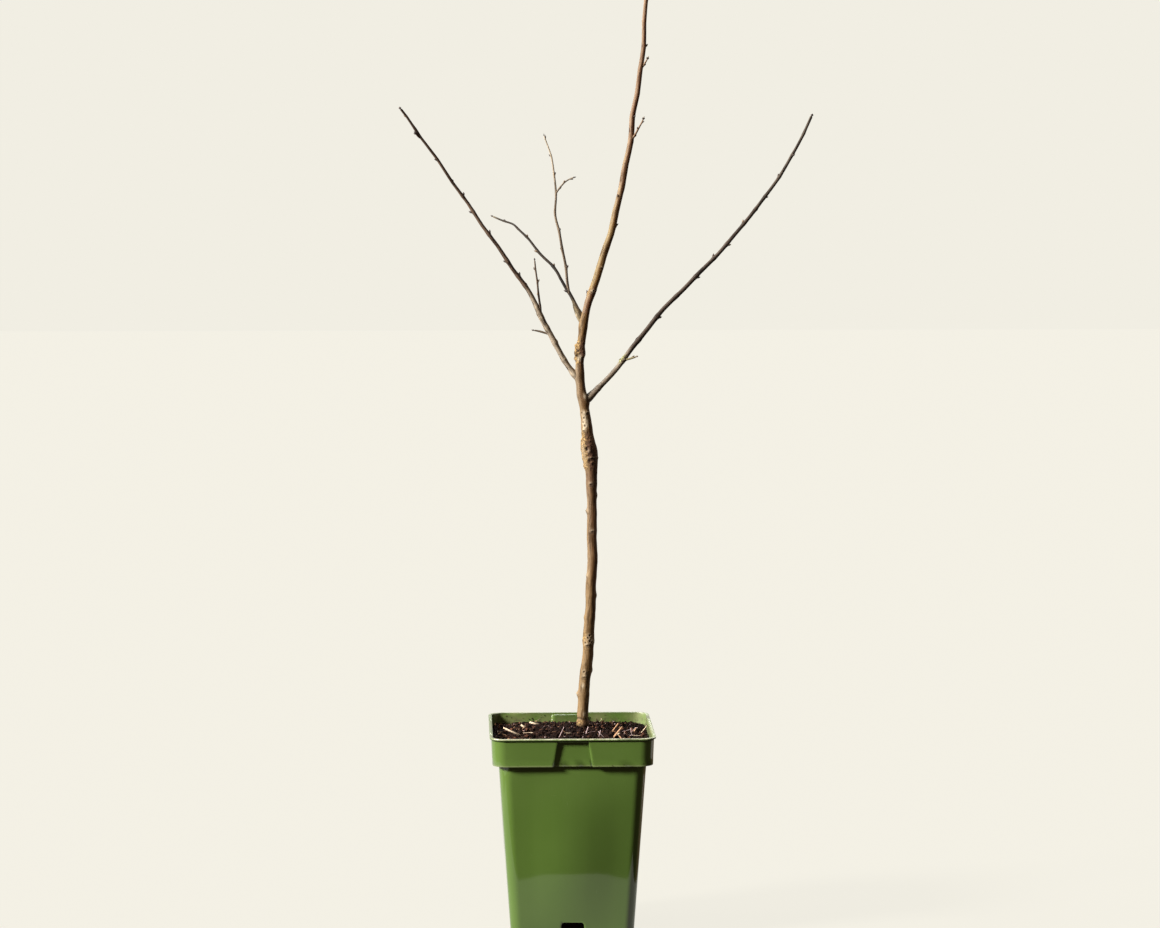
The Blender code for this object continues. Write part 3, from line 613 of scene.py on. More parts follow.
def pot_plastic(name, inside):
    """Green moulded plastic: flow streaks, scuffs, a worn lip with a painted highlight and painted
    shade low on the body, with a painted shadow under the lip outside, or soil marks on the inside.
    """
    material, wire, shader = start_finish(name)
    place = wire.node("ShaderNodeTexCoord", out="Object")
    x, y, z = place.axes()

    clouds = place.noise(9.0, 3.0)
    flow = place.stretch(60.0, 60.0, 5.0).noise(1.0, 4.0, 0.6)
    scuffs = place.stretch(55.0, 55.0, 420.0).noise(1.0, 5.0, 0.7).between(0.66, 0.74)
    scrapes = place.stretch(130.0, 130.0, 22.0).noise(1.0, 4.0, 0.75, 0.8).between(0.69, 0.75)
    dust = place.noise(420.0, 4.0, 0.7).between(0.60, 0.78)
    handled = place.noise(26.0, 3.0).between(0.52, 0.68)

    green = clouds.between(0.30, 0.72).blend((0.072, 0.126, 0.0240), (0.084, 0.142, 0.030))
    green = (flow.between(0.35, 0.70) * 0.20).blend(green, (0.092, 0.146, 0.036))
    # Painted shade: the body is darker than the band, more so towards its foot.
    green = (z.between(LEDGE + 0.001, LEDGE - 0.070) * 0.34).blend(green, (0.046, 0.088, 0.0125))
    worn = (scuffs * 0.18 + scrapes * 0.25).clamp()
    green = worn.blend(green, (0.17, 0.22, 0.095))
    green = (dust * handled * 0.20).blend(green, (0.22, 0.22, 0.14))
    rough = 0.050 + clouds * 0.03 + worn * 0.25 + dust * handled * 0.10

    chips = place.noise(160.0, 4.0, 0.7).between(0.35, 0.65)
    if not inside:
        # Painted shadow: a near-black band just under the lip, where the lip casts its shadow.
        painted_lip_shadow = z.between(LIP_UNDER - 0.0024, LIP_UNDER - 0.0006)
        painted_lip_shadow = painted_lip_shadow * z.between(LIP_UNDER + 0.0007, LIP_UNDER + 0.0001)
        green = (painted_lip_shadow * 0.75).blend(green, (0.012, 0.020, 0.004))
        # A paler line along the band's foot edge: wear, and a painted highlight on the rounded edge.
        foot = z.between(LEDGE + 0.0022, LEDGE + 0.0010) * z.between(LEDGE - 0.0006, LEDGE)
        green = (foot * 0.40).blend(green, (0.20, 0.22, 0.11))
    # The lip's edge is paler, mostly on the front: wear, and a painted highlight where the rounded
    # edge catches the light.
    lip = z.between(LIP_UNDER + 0.0005, LIP_UNDER + 0.0012)
    front = y.between(-0.080, -0.087) * 0.90 + 0.10
    green = (lip * front * (0.21 + chips * 0.46)).blend(green, (0.54, 0.51, 0.39))
    dirt = place.noise(430.0, 3.0, 0.65).between(0.63, 0.69)
    dirt = dirt * z.between(LEDGE + 0.009, LEDGE + 0.001) * z.between(LEDGE - 0.002, LEDGE)
    green = (dirt * 0.8).blend(green, (0.022, 0.016, 0.008))
    rough = rough + lip * 0.12
    if inside:
        splash = place.noise(260.0, 5.0, 0.75).between(0.53, 0.62)
        splash = splash * z.between(POT_HEIGHT - 0.001, SOIL_EDGE)
        film = place.noise(45.0, 4.0, 0.6).between(0.30, 0.70) * 0.80
        green = film.blend(green, (0.160, 0.168, 0.075))
        green = (x.between(0.066, 0.0840) * 0.30).blend(green, (0.25, 0.27, 0.15))
        green = (splash * 0.9).blend(green, (0.050, 0.028, 0.017))
        rough = rough + 0.15 + splash * 0.4
    peel = place.noise(900.0, 2.0)
    soft = bump(wire, flow, 0.00010, 0.08)
    feed(wire, shader, Base_Color=green, Roughness=rough,
         Normal=bump(wire, peel, 0.00002, 0.15, soft))
    return material


def soil_paint(name, dark, light, scale=700.0):
    """Damp peat or wood crumbs: two tones, a dull face and a rough grain."""
    material, wire, shader = start_finish(name)
    place = wire.node("ShaderNodeTexCoord", out="Object")
    grain = place.noise(scale, 5.0, 0.7)
    patch = place.noise(scale / 6, 2.0).between(0.40, 0.62)
    colour = (grain.between(0.35, 0.70) * 0.5 + patch * 0.5).blend(dark, light)
    normal = bump(wire, grain, 0.0004, 0.8)
    feed(wire, shader, Base_Color=colour, Roughness=0.80 + grain * 0.18, Normal=normal,
         Specular_IOR_Level=0.08)
    return material


# Colours of each piece of wood: lit on the side painted as lit, a painted shade colour on the
# rest, pale in its light streaks, and the other lit and shaded colours that it takes where its
# tone says.
BARK_COLOURS = {
    "trunk": ((0.180, 0.115, 0.053), (0.122, 0.058, 0.0145), (0.38, 0.29, 0.18),
              (0.134, 0.088, 0.053), (0.100, 0.046, 0.0190)),
    "leader": ((0.205, 0.150, 0.075), (0.140, 0.068, 0.017), (0.34, 0.26, 0.15),
               (0.192, 0.128, 0.080), (0.096, 0.036, 0.0125)),
    "leader_twigs": ((0.198, 0.130, 0.080), (0.096, 0.036, 0.0125), (0.32, 0.24, 0.16),
                     (0.170, 0.105, 0.062), (0.088, 0.034, 0.014)),
    "right_bough": ((0.056, 0.040, 0.030), (0.029, 0.017, 0.011), (0.13, 0.10, 0.078),
                    (0.240, 0.200, 0.158), (0.155, 0.116, 0.080), (0.33, 0.34, 0.15)),
    "right_bough_twigs": ((0.062, 0.047, 0.034), (0.032, 0.021, 0.013), (0.13, 0.10, 0.075),
                          (0.08, 0.064, 0.045), (0.04, 0.028, 0.018)),
    "left_bough": ((0.116, 0.076, 0.052), (0.046, 0.025, 0.0145), (0.22, 0.16, 0.12),
                   (0.320, 0.262, 0.195), (0.200, 0.148, 0.090)),
    "left_bough_twigs": ((0.110, 0.074, 0.052), (0.046, 0.025, 0.0145), (0.18, 0.13, 0.095),
                         (0.05, 0.03, 0.02), (0.025, 0.013, 0.008)),
    "upper_left_bough": ((0.022, 0.014, 0.0085), (0.010, 0.006, 0.0035), (0.045, 0.033, 0.022),
                         (0.19, 0.142, 0.066), (0.060, 0.038, 0.019)),
    "upper_left_bough_twigs": ((0.026, 0.018, 0.011), (0.011, 0.007, 0.004),
                               (0.055, 0.042, 0.029), (0.26, 0.215, 0.15), (0.13, 0.10, 0.065)),
    "upright_twigs": ((0.160, 0.118, 0.080), (0.085, 0.058, 0.037), (0.24, 0.19, 0.135),
                      (0.42, 0.35, 0.25), (0.28, 0.22, 0.15)),
    "left_rising_twigs": ((0.085, 0.060, 0.044), (0.036, 0.022, 0.015), (0.15, 0.11, 0.08),
                          (0.16, 0.115, 0.08), (0.06, 0.038, 0.024)),
    "left_spur_twigs": ((0.200, 0.160, 0.115), (0.090, 0.062, 0.040), (0.30, 0.24, 0.17),
                        (0.22, 0.165, 0.11), (0.08, 0.055, 0.035)),
    "right_spur_twigs": ((0.210, 0.190, 0.090), (0.085, 0.065, 0.032), (0.32, 0.28, 0.15),
                         (0.08, 0.05, 0.03), (0.04, 0.022, 0.013)),
}


def bark(name, lit, shaded, pale, other_lit, other_shaded, callus=(0.31, 0.200, 0.078)):
    """Young bark on a limb, in its colours and the colour of its healed wood.

    The piece's own attributes say where they go: grain is a place rolled along the limb, shade
    the painted shade on the side turned from the lit side, callus rough healed wood, scar the dark
    hollows, pale the bleached spots, and tone where the limb takes its other colours.
    """
    material, wire, shader = start_finish(name)
    grain = wire.node("ShaderNodeAttribute", {"attribute_name": "grain"}, out="Vector")
    healed, scar, bare, shade, tone = (
        wire.node("ShaderNodeAttribute", {"attribute_name": key}, out="Fac")
        for key in ("callus", "scar", "pale", "shade", "tone"))

    streak = grain.stretch(1.0, 1.0, 0.10).noise(620.0, 5.0, 0.65)
    patch = grain.stretch(1.0, 1.0, 0.45).noise(130.0, 3.0)
    skin = grain.noise(1500.0, 4.0, 0.7)
    ticks = grain.stretch(1.0, 1.0, 3.2).cells(420.0).between(0.17, 0.08)
    cracks = grain.stretch(1.0, 1.0, 0.6).cells(520.0, feature="DISTANCE_TO_EDGE")

    band = grain.stretch(1.0, 1.0, 0.15).noise(300.0, 4.0, 0.7)
    clots = grain.noise(560.0, 4.0, 0.7)

    # Painted light and shade: the lit colour on the lit side, the shaded colour round the rest.
    side = (shade + (streak - 0.5) * 1.2 + (patch - 0.5) * 0.8).clamp()
    colour = side.blend(lit, shaded)
    other = side.blend(other_lit, other_shaded)
    colour = (tone + (patch - 0.5) * 0.5).clamp().blend(colour, other)
    # Pale streaks, ticks, bright bands and golden callus fade on the shaded side: painted light,
    # strongest on the lit side.
    light = patch.between(0.52, 0.72) * streak.between(0.42, 0.62) * (1.0 - shade * 0.9)
    colour = (light * 0.75).blend(colour, pale)
    colour = (ticks * 0.45 * (1.0 - healed) * (1.0 - shade * 0.8)).blend(colour, pale)
    spots = patch.between(0.50, 0.38) * clots.between(0.50, 0.42) * 0.60
    dark = tuple(0.40 * channel for channel in shaded)
    colour = (spots + band.between(0.49, 0.39) * 0.80).clamp().blend(colour, dark)
    bright = tuple(1.25 * channel for channel in lit)
    colour = (band.between(0.53, 0.63) * 0.60 * (1.0 - shade * 0.5)).blend(colour, bright)
    # Healed wood takes a dim copy of its colour as painted shade on the shaded side.
    dim = (0.24 * callus[0], 0.16 * callus[1], 0.26 * callus[2])
    colour = (healed * (0.62 + skin * 0.5)).clamp().blend(colour, side.blend(callus, dim))
    colour = (healed * clots.between(0.53, 0.44) * 0.9).blend(colour, (0.040, 0.018, 0.008))
    golden = tuple(1.4 * channel for channel in callus)
    colour = (healed * clots.between(0.55, 0.64) * (1.0 - shade * 0.8)).blend(colour, golden)
    bleached = bare * (0.35 + streak.between(0.35, 0.60) * 0.75)
    colour = bleached.clamp().blend(colour, (0.46, 0.38, 0.27))
    colour = (scar * 0.95).clamp().blend(colour, (0.018, 0.008, 0.005))

    fine = bump(wire, streak, 0.00030, 0.55)
    pitted = bump(wire, skin + cracks * healed, 0.00035, 0.45, fine)
    feed(wire, shader, Base_Color=colour, Roughness=0.58 + streak * 0.16 + healed * 0.15,
         Normal=pitted, Specular_IOR_Level=0.20)
    return material


def bud_paint(name, dark, light):
    """Bud scales: dark at the foot of a patch and paler at its rim."""
    material, wire, shader = start_finish(name)
    place = wire.node("ShaderNodeTexCoord", out="Object")
    mottle = place.noise(1400.0, 3.0)
    colour = mottle.between(0.35, 0.70).blend(dark, light)
    feed(wire, shader, Base_Color=colour, Roughness=0.45 + mottle * 0.2,
         Normal=bump(wire, mottle, 0.0002, 0.5))
    return material


# ---------------------------------------------------------------- pot
def column_half(height, wide):
    """Half the width of the middle columns: the window's below, the recess's above."""
    if height <= WINDOW_HEIGHT:
        share = height / WINDOW_HEIGHT
        return WINDOW_FOOT_HALF + (WINDOW_TOP_HALF - WINDOW_FOOT_HALF) * share
    if height < LEDGE - CLOSE:
        share = (height - WINDOW_HEIGHT) / (LEDGE - WINDOW_HEIGHT)
        return WINDOW_TOP_HALF + (RECESS_FOOT_HALF - RECESS_DRAFT - WINDOW_TOP_HALF) * share
    if wide < (RECESS_FACE + BAND_FOOT_HALF) / 2:
        return RECESS_FOOT_HALF - RECESS_DRAFT
    share = min((height - LEDGE) / (RECESS_TOP - LEDGE), 1.0)
    return RECESS_FOOT_HALF + (RECESS_TOP_HALF - RECESS_FOOT_HALF) * share


def column_place(number, half, flat):
    """Where a column stands on a side whose flat stretch reaches flat from its middle."""
    eased = half - WINDOW_ROUND
    if number <= RECESS_COLUMNS + 1:
        return (0.0, eased / 2, eased, half, half + TRIM)[number]
    beyond = SIDE_COLUMNS // 2 - RECESS_COLUMNS - 1
    return half + TRIM + (flat - half - TRIM) * (number - RECESS_COLUMNS - 1) / beyond


def set_columns(pot):
    """Slide the points of the flat sides to their columns, and belly the body's sides out."""
    flat_share = (BODY_FOOT_HALF - FOOT_CORNER) / BODY_FOOT_HALF
    for vertex in pot.data.vertices:
        side = 0 if abs(vertex.co.x) > abs(vertex.co.y) else 1
        wide, along = abs(vertex.co[side]), vertex.co[1 - side]
        flat = wide * flat_share
        if abs(along) > flat + CLOSE:
            continue
        number = round(abs(along) / flat * SIDE_COLUMNS / 2)
        place = column_place(number, column_half(vertex.co.z, wide), flat)
        vertex.co[1 - side] = math.copysign(place, along)
        if number == RECESS_COLUMNS and abs(vertex.co.z - WINDOW_HEIGHT) < CLOSE:
            ease = WINDOW_ROUND * ROUND_SHARE
            vertex.co[1 - side] = math.copysign(place - ease, along)
            vertex.co.z -= ease
        if 0.0 < vertex.co.z < LEDGE - CLOSE:
            belly = (1 - (place / flat) ** 2) ** 2 * math.sin(math.pi * vertex.co.z / LEDGE)
            vertex.co[side] += math.copysign((SIDE_BULGE, FRONT_BULGE)[side] * belly,
                                             vertex.co[side])


def sink_recess(pot, facing):
    """Sink the label panel into the band on the side that faces -Y or +Y, open at its foot."""
    def outside(centre):
        return abs(centre.x) < RECESS_FOOT_HALF and centre.y * facing > RECESS_FACE

    def on_ledge(face):
        centre = face.calc_center_median()
        return outside(centre) and abs(centre.z - LEDGE) < CLOSE

    def on_panel(face):
        centre = face.calc_center_median()
        return (outside(centre) and LEDGE < centre.z < RECESS_TOP
                and abs(centre.x) < column_half(centre.z, 1.0))

    with editing(pot):
        delete_faces(pot, on_ledge)
        pick(pot, "FACE", on_panel)
        bpy.ops.mesh.extrude_region_move(
            TRANSFORM_OT_translate={"value": (0.0, -facing * RECESS_PUSH, 0.0)})
        bm = bmesh.from_edit_mesh(pot.data)
        for vertex in bm.verts:
            if vertex.select:
                half = column_half(vertex.co.z, 1.0)
                vertex.co.x *= (half - RECESS_DRAFT) / half
                vertex.co.y = facing * RECESS_FACE
        bmesh.update_edit_mesh(pot.data)
        delete_faces(pot, on_ledge)
        choose_all()
        bpy.ops.mesh.delete_loose()
        choose_all()
        bpy.ops.mesh.remove_doubles(threshold=WELD)


def cut_windows(pot):
    """Open a drainage window in the foot of each side and a notch in the floor behind it."""
    def in_window(face):
        centre = face.calc_center_median()
        across = min(abs(centre.x), abs(centre.y))
        deep = max(abs(centre.x), abs(centre.y))
        return (across < column_half(max(centre.z, 0.0), 1.0) and centre.z < WINDOW_HEIGHT
                and deep > BODY_FOOT_HALF - WINDOW_REACH)

    with editing(pot):
        delete_faces(pot, in_window)


def model_pot(plastics):
    """The pot: one moulded wall, drawn up through its levels, with its recess and windows."""
    deselect()
    bpy.ops.mesh.primitive_plane_add(size=2 * BODY_FOOT_HALF)
    pot = fresh("pot_shell")
    window_rows = [0.0, WINDOW_HEIGHT - 2 * WINDOW_ROUND, WINDOW_HEIGHT - WINDOW_ROUND,
                   WINDOW_HEIGHT, WINDOW_HEIGHT + TRIM]
    body_rows = list(np.linspace(WINDOW_HEIGHT + TRIM, LEDGE, BODY_ROWS + 1)[1:])
    band_rows = list(np.linspace(LEDGE, RECESS_TOP, BAND_ROWS + 1)[1:])
    levels = [(height, BODY_FOOT_HALF + (BODY_TOP_HALF - BODY_FOOT_HALF) * height / LEDGE)
              for height in window_rows + body_rows]
    levels += [(LEDGE, RECESS_FACE), (LEDGE, BAND_FOOT_HALF)]
    lean = (BAND_TOP_HALF - BAND_FOOT_HALF) / (LIP_UNDER - LEDGE)
    levels += [(height, BAND_FOOT_HALF + lean * (height - LEDGE)) for height in band_rows]
    levels += [(LIP_UNDER, BAND_TOP_HALF), (LIP_UNDER, LIP_HALF)]
    with editing(pot):
        bpy.ops.mesh.bevel(offset=FOOT_CORNER, segments=CORNER_STEPS, affect="VERTICES")
        bpy.ops.mesh.select_all(action="SELECT")
        bpy.ops.mesh.delete(type="ONLY_FACE")
        pick(pot, "EDGE", lambda edge: edge.calc_length() > FOOT_CORNER)
        bpy.ops.mesh.subdivide(number_cuts=SIDE_COLUMNS - 1)
        bpy.ops.mesh.select_all(action="SELECT")
        for (low, before), (high, after) in zip(levels, levels[1:]):
            lift(high - low, after / before)
        pick(pot, "EDGE", lambda edge: abs(edge.verts[0].co.z) + abs(edge.verts[1].co.z) < 1e-6)
        lift(0.0, (BODY_FOOT_HALF - WINDOW_REACH) / BODY_FOOT_HALF)
        bpy.ops.mesh.edge_face_add()
        turn_faces(inside=True)
    set_columns(pot)
    cut_windows(pot)
    for facing in (-1, 1):
        sink_recess(pot, facing)
    for material in plastics:
        pot.data.materials.append(material)
    apply_modifier(pot, "SOLIDIFY", thickness=WALL, offset=-1.0, use_even_offset=True,
                   use_quality_normals=True, material_offset=1)
    apply_modifier(pot, "BEVEL", width=EDGE_ROUND, segments=2, limit_method="ANGLE",
                   angle_limit=math.radians(SHARP_EDGE), harden_normals=True)
    smooth_by_angle(pot, SHARP_EDGE)
    return finish_piece(pot, ["pot"], "pot_plastic")


# ---------------------------------------------------------------- soil
def wall_reach(bearing, half, corner):
    """Distance from the middle to a rounded square's outline in some direction."""
    across, up = abs(math.cos(bearing)), abs(math.sin(bearing))
    across, up = max(across, up), min(across, up)
    straight = half / across
    if straight * up <= half - corner:
        return straight
    centre = half - corner
    along = centre * (across + up)
    return along + math.sqrt(max(along**2 - 2 * centre**2 + corner**2, 0.0))


def soil_height(x, y):
    """The soil's top: a low mound that rises to the stem, with lumps."""
    far = ((abs(x) ** 5 + abs(y) ** 5) ** 0.2) / (BAND_FOOT_HALF - WALL)
    rise = math.sin(max(1.0 - far, 0.0) * math.pi / 2)
    base = SOIL_EDGE + (SOIL_TOP - MOUND_DROP - SOIL_EDGE) * rise
    lumps = noise.noise(Vector((x, y, 0.3)) * 95.0) + 0.6 * noise.noise(Vector((x, y, 1.7)) * 240.0)
    lumps -= 1.7 * max(0.0, 1.0 - abs(noise.noise(Vector((x, y, 3.1)) * 150.0)) / 0.13)
    near = math.hypot(x - TREE_FOOT[0], y - TREE_FOOT[1])
    calm = min(1.0, near / CALM_REACH)
    return base + LUMP * lumps * (0.45 + 0.55 * calm)


def carve(piece, side, inner, width, low, high):
    """Cut a block out of a piece: from inner outwards, on the side numbered from the front."""
    turn = math.radians(90 * side)
    out = inner + CARVE_DEPTH / 2
    deselect()
    bpy.ops.mesh.primitive_cube_add(
        size=1.0, location=(out * math.sin(turn), -out * math.cos(turn), (low + high) / 2),
        rotation=(0.0, 0.0, turn), scale=(width, CARVE_DEPTH, high - low))
    block = fresh("carving_block")
    apply_modifier(piece, "BOOLEAN", operation="DIFFERENCE", object=block)
    bpy.data.objects.remove(block)


def model_soil_bed(paint):
    """The filled pot's soil: a lumpy top, and sides drawn down inside the pot's wall."""
    half = BAND_FOOT_HALF - WALL - SOIL_GAP
    corner = FOOT_CORNER * half / BODY_FOOT_HALF - CORNER_SPARE
    deselect()
    bpy.ops.mesh.primitive_grid_add(x_subdivisions=SOIL_CELLS, y_subdivisions=SOIL_CELLS,
                                    size=2 * half)
    soil = fresh("soil_bed")
    for vertex in soil.data.vertices:
        x, y, _ = vertex.co
        bearing = math.atan2(y, x)
        square = half / max(abs(math.cos(bearing)), abs(math.sin(bearing)))
        share = wall_reach(bearing, half, corner) / square
        x, y = x * share, y * share
        vertex.co = (x, y, soil_height(x, y))
    body_top = BODY_TOP_HALF - WALL - SOIL_GAP
    body_foot = BODY_FOOT_HALF - WALL - SOIL_GAP
    shelf = LEDGE + WALL + SOIL_GAP
    with editing(soil):
        pick(soil, "EDGE", lambda edge: edge.is_boundary)
        lift(shelf - SOIL_EDGE)
        bm = bmesh.from_edit_mesh(soil.data)
        for vertex in bm.verts:
            if vertex.select:
                vertex.co.z = shelf
        bmesh.update_edit_mesh(soil.data)
        lift(0.0, body_top / half)
        lift(WALL + SOIL_GAP - shelf + FLOOR_EXTRA, body_foot / body_top)
        bpy.ops.mesh.edge_face_add()
        turn_faces()
    backing = RECESS_FACE - WALL - SOIL_GAP
    for number in range(4):
        carve(soil, number, BODY_FOOT_HALF - WINDOW_REACH, 2 * WINDOW_FOOT_HALF + WINDOW_SPARE,
              0.0, WINDOW_HEIGHT + WINDOW_SPARE)
        if number % 2 == 0:
            carve(soil, number, backing, 2 * (RECESS_FOOT_HALF + WALL), LEDGE - RECESS_SPARE,
                  POT_HEIGHT)
    smooth_by_angle(soil, CRAGGY_EDGE)
    return finish_piece(soil, ["soil"], "potting_soil", paint)


def lump_template(seed, detail):
    """A craggy lump of about unit radius."""
    deselect()
    bpy.ops.mesh.primitive_ico_sphere_add(subdivisions=detail, radius=1.0)
    lump = fresh("lump")
    for vertex in lump.data.vertices:
        shift = Vector((seed * 7.3, 0.0, 0.0))
        reach = 1.0 + 0.75 * noise.noise(vertex.co * 1.3 + shift)
        reach += 0.45 * noise.noise(vertex.co * 3.1 + shift)
        vertex.co = vertex.co * reach
    return take_template(lump)


def chip_template(seed):
    """A splintered flake of wood, 1 long, about 0.35 wide and 0.12 thick."""
    deselect()
    bpy.ops.mesh.primitive_cube_add(size=1.0)
    chip = fresh("chip")
    with editing(chip):
        bpy.ops.mesh.subdivide(number_cuts=1)
    for vertex in chip.data.vertices:
        wobble = noise.noise_vector(vertex.co * 2.0 + Vector((0.0, seed * 5.1, 0.0))) * 0.30
        end = 1.0 - 0.5 * abs(vertex.co.x) * (1 + wobble.x)
        vertex.co = Vector((vertex.co.x + wobble.y * 0.3,
                            (vertex.co.y * end + wobble.z * 0.3) * CHIP_WIDTH,
                            vertex.co.z * CHIP_HALF_THICKNESS + 0.05 * wobble.x))
    return take_template(chip)


def fibre_template(seed):
    """A bent root fibre or straw, 1 long and 1/30 thick."""
    rng = random.Random(seed)
    deselect()
    bpy.ops.mesh.primitive_cylinder_add(vertices=5, radius=1 / 60, depth=1.0, end_fill_type="NGON",
                                        rotation=(0.0, math.pi / 2, 0.0))
    fibre = fresh("fibre")
    bpy.ops.object.transform_apply(location=False, rotation=True, scale=True)
    with editing(fibre):
        for plane in np.linspace(-0.375, 0.375, 6):
            choose_all()
            bpy.ops.mesh.bisect(plane_co=(plane, 0.0, 0.0), plane_no=(1.0, 0.0, 0.0))
    bow, hook = rng.uniform(-0.25, 0.25), rng.uniform(-0.12, 0.12)
    # A cut may number its points either way round, so they are taken by their place.
    for vertex in sorted(fibre.data.vertices, key=lambda v: [round(c, 5) for c in v.co]):
        x = vertex.co.x
        vertex.co.y += bow * (0.25 - x * x) + hook * x**3 * 8 * 0.3
        vertex.co.z += rng.uniform(0.0, 0.012) + abs(bow) * 0.3 * (0.25 - x * x)
    return take_template(fibre)


def random_turn(rng, tilt):
    """A turn about the upright axis, tipped by up to tilt."""
    spin = Matrix.Rotation(rng.uniform(0.0, math.tau), 3, "Z")
    bearing = rng.uniform(0.0, math.tau)
    lean = Matrix.Rotation(rng.uniform(-tilt, tilt), 3, (math.cos(bearing), math.sin(bearing), 0.0))
    return lean @ spin


def soil_spot(rng, margin):
    """A random place on the soil, clear of the stem and, by margin, of the pot's wall."""
    half = BAND_FOOT_HALF - WALL - margin
    while True:
        x, y = rng.uniform(-half, half), rng.uniform(-half, half)
        bearing = math.atan2(y, x)
        inside = math.hypot(x, y) < wall_reach(bearing, half, SOIL_CORNER)
        recess = (abs(x) < RECESS_FOOT_HALF + WALL + margin
                  and abs(y) > RECESS_FACE - WALL - SOIL_GAP - margin)
        clear = math.hypot(x - TREE_FOOT[0], y - TREE_FOOT[1]) > STEM_CLEARANCE
        if inside and clear and not recess:
            return x, y, soil_height(x, y)


def deal_paint(rng, x, left, middle, right):
    """Draw a paint's number by the odds of the soil's left, middle or right."""
    odds = left if x < MIX_LEFT else right if x > MIX_RIGHT else middle
    return rng.choices(range(len(odds)), odds)[0]


def crumbs(paints):
    """Loose crumbs of peat in four sizes, and specks that stick to the inside of the wall."""
    rng = random.Random(404)
    stock = [lump_template(seed, detail) for seed, detail in enumerate(CRUMB_DETAIL)]
    places = []
    for count, small, large, first, kinds in CRUMBS:
        for _ in range(count):
            size = rng.uniform(small, large)
            x, y, z = soil_spot(rng, size + 0.0006)
            turn = random_turn(rng, math.pi)
            shape = turn @ Matrix.Diagonal((size * rng.uniform(0.8, 1.9), size * 0.9,
                                            size * rng.uniform(0.45, 0.85)))
            places.append((first + rng.randrange(kinds), shape,
                           (x, y, z + size * rng.uniform(-0.1, 0.6)),
                           deal_paint(rng, x, (7, 3, 0.9), (14, 1.2, 0.15), (11, 1.6, 0.5))))
    wall = BAND_FOOT_HALF - WALL
    for _ in range(SPECKS):
        size = rng.uniform(0.00025, 0.0008)
        x, z = rng.uniform(-0.070, 0.070), SOIL_EDGE + 0.0095 * rng.random() ** 1.6
        y = wall + 0.0011 * (z - LEDGE) / (LIP_UNDER - LEDGE) - size * 0.25
        shape = random_turn(rng, math.pi) @ Matrix.Diagonal((size * 1.4, size * 0.5, size))
        if abs(x) > RECESS_FOOT_HALF + WALL:
            places.append((9 + rng.randrange(5), shape, (x, y, z), rng.choice((0, 0, 1))))
    made = joined_copies("soil_crumbs", stock, places)
    return finish_piece(made, [], "potting_soil", *paints)


# Splinters and straws that stand out of the soil: foot, its bearing and tilt above the ground
# in degrees, length, thickness and paint.
STICKS = (
    (-0.0560, -0.0170, 178, 24, 0.0205, 0.0028, 2), (-0.0662, -0.0060, 172, 22, 0.0110, 0.0015, 1),
    (-0.0482, 0.0270, 172, 32, 0.0075, 0.0034, 2), (-0.0340, 0.0330, 176, 14, 0.0110, 0.0034, 2),
    (-0.0152, -0.0400, 8, 64, 0.0150, 0.0013, 3), (0.0096, -0.0210, 8, 27, 0.0110, 0.0012, 3),
    (0.0156, -0.0360, 20, 72, 0.0085, 0.0012, 3), (0.0430, -0.0370, 12, 49, 0.0190, 0.0028, 1),
    (0.0455, -0.0060, 10, 53, 0.0115, 0.0020, 1), (0.0600, 0.0330, 5, 6, 0.0075, 0.0026, 3),
    (0.0671, -0.0170, 170, 78, 0.0085, 0.0014, 3), (0.0677, 0.0070, 15, 50, 0.0060, 0.0014, 3),
    (0.0293, -0.0460, 5, 74, 0.0075, 0.0012, 3), (0.0353, -0.0460, 178, 47, 0.0095, 0.0012, 3),
    (0.0780, 0.0020, 10, 50, 0.0105, 0.0012, 2), (0.0720, 0.0490, 12, 8, 0.0060, 0.0024, 3),
    (0.0501, -0.0260, 30, 35, 0.0040, 0.0026, 2), (0.0306, 0.0666, 40, 40, 0.0120, 0.0007, 2),
    (-0.0420, -0.0640, 30, 20, 0.0120, 0.0012, 2), (0.0560, -0.0620, 120, 25, 0.0110, 0.0013, 1),
    (-0.0560, 0.0150, 25, 20, 0.0080, 0.0016, 1), (0.0700, 0.0080, 60, 35, 0.0085, 0.0012, 1),
)


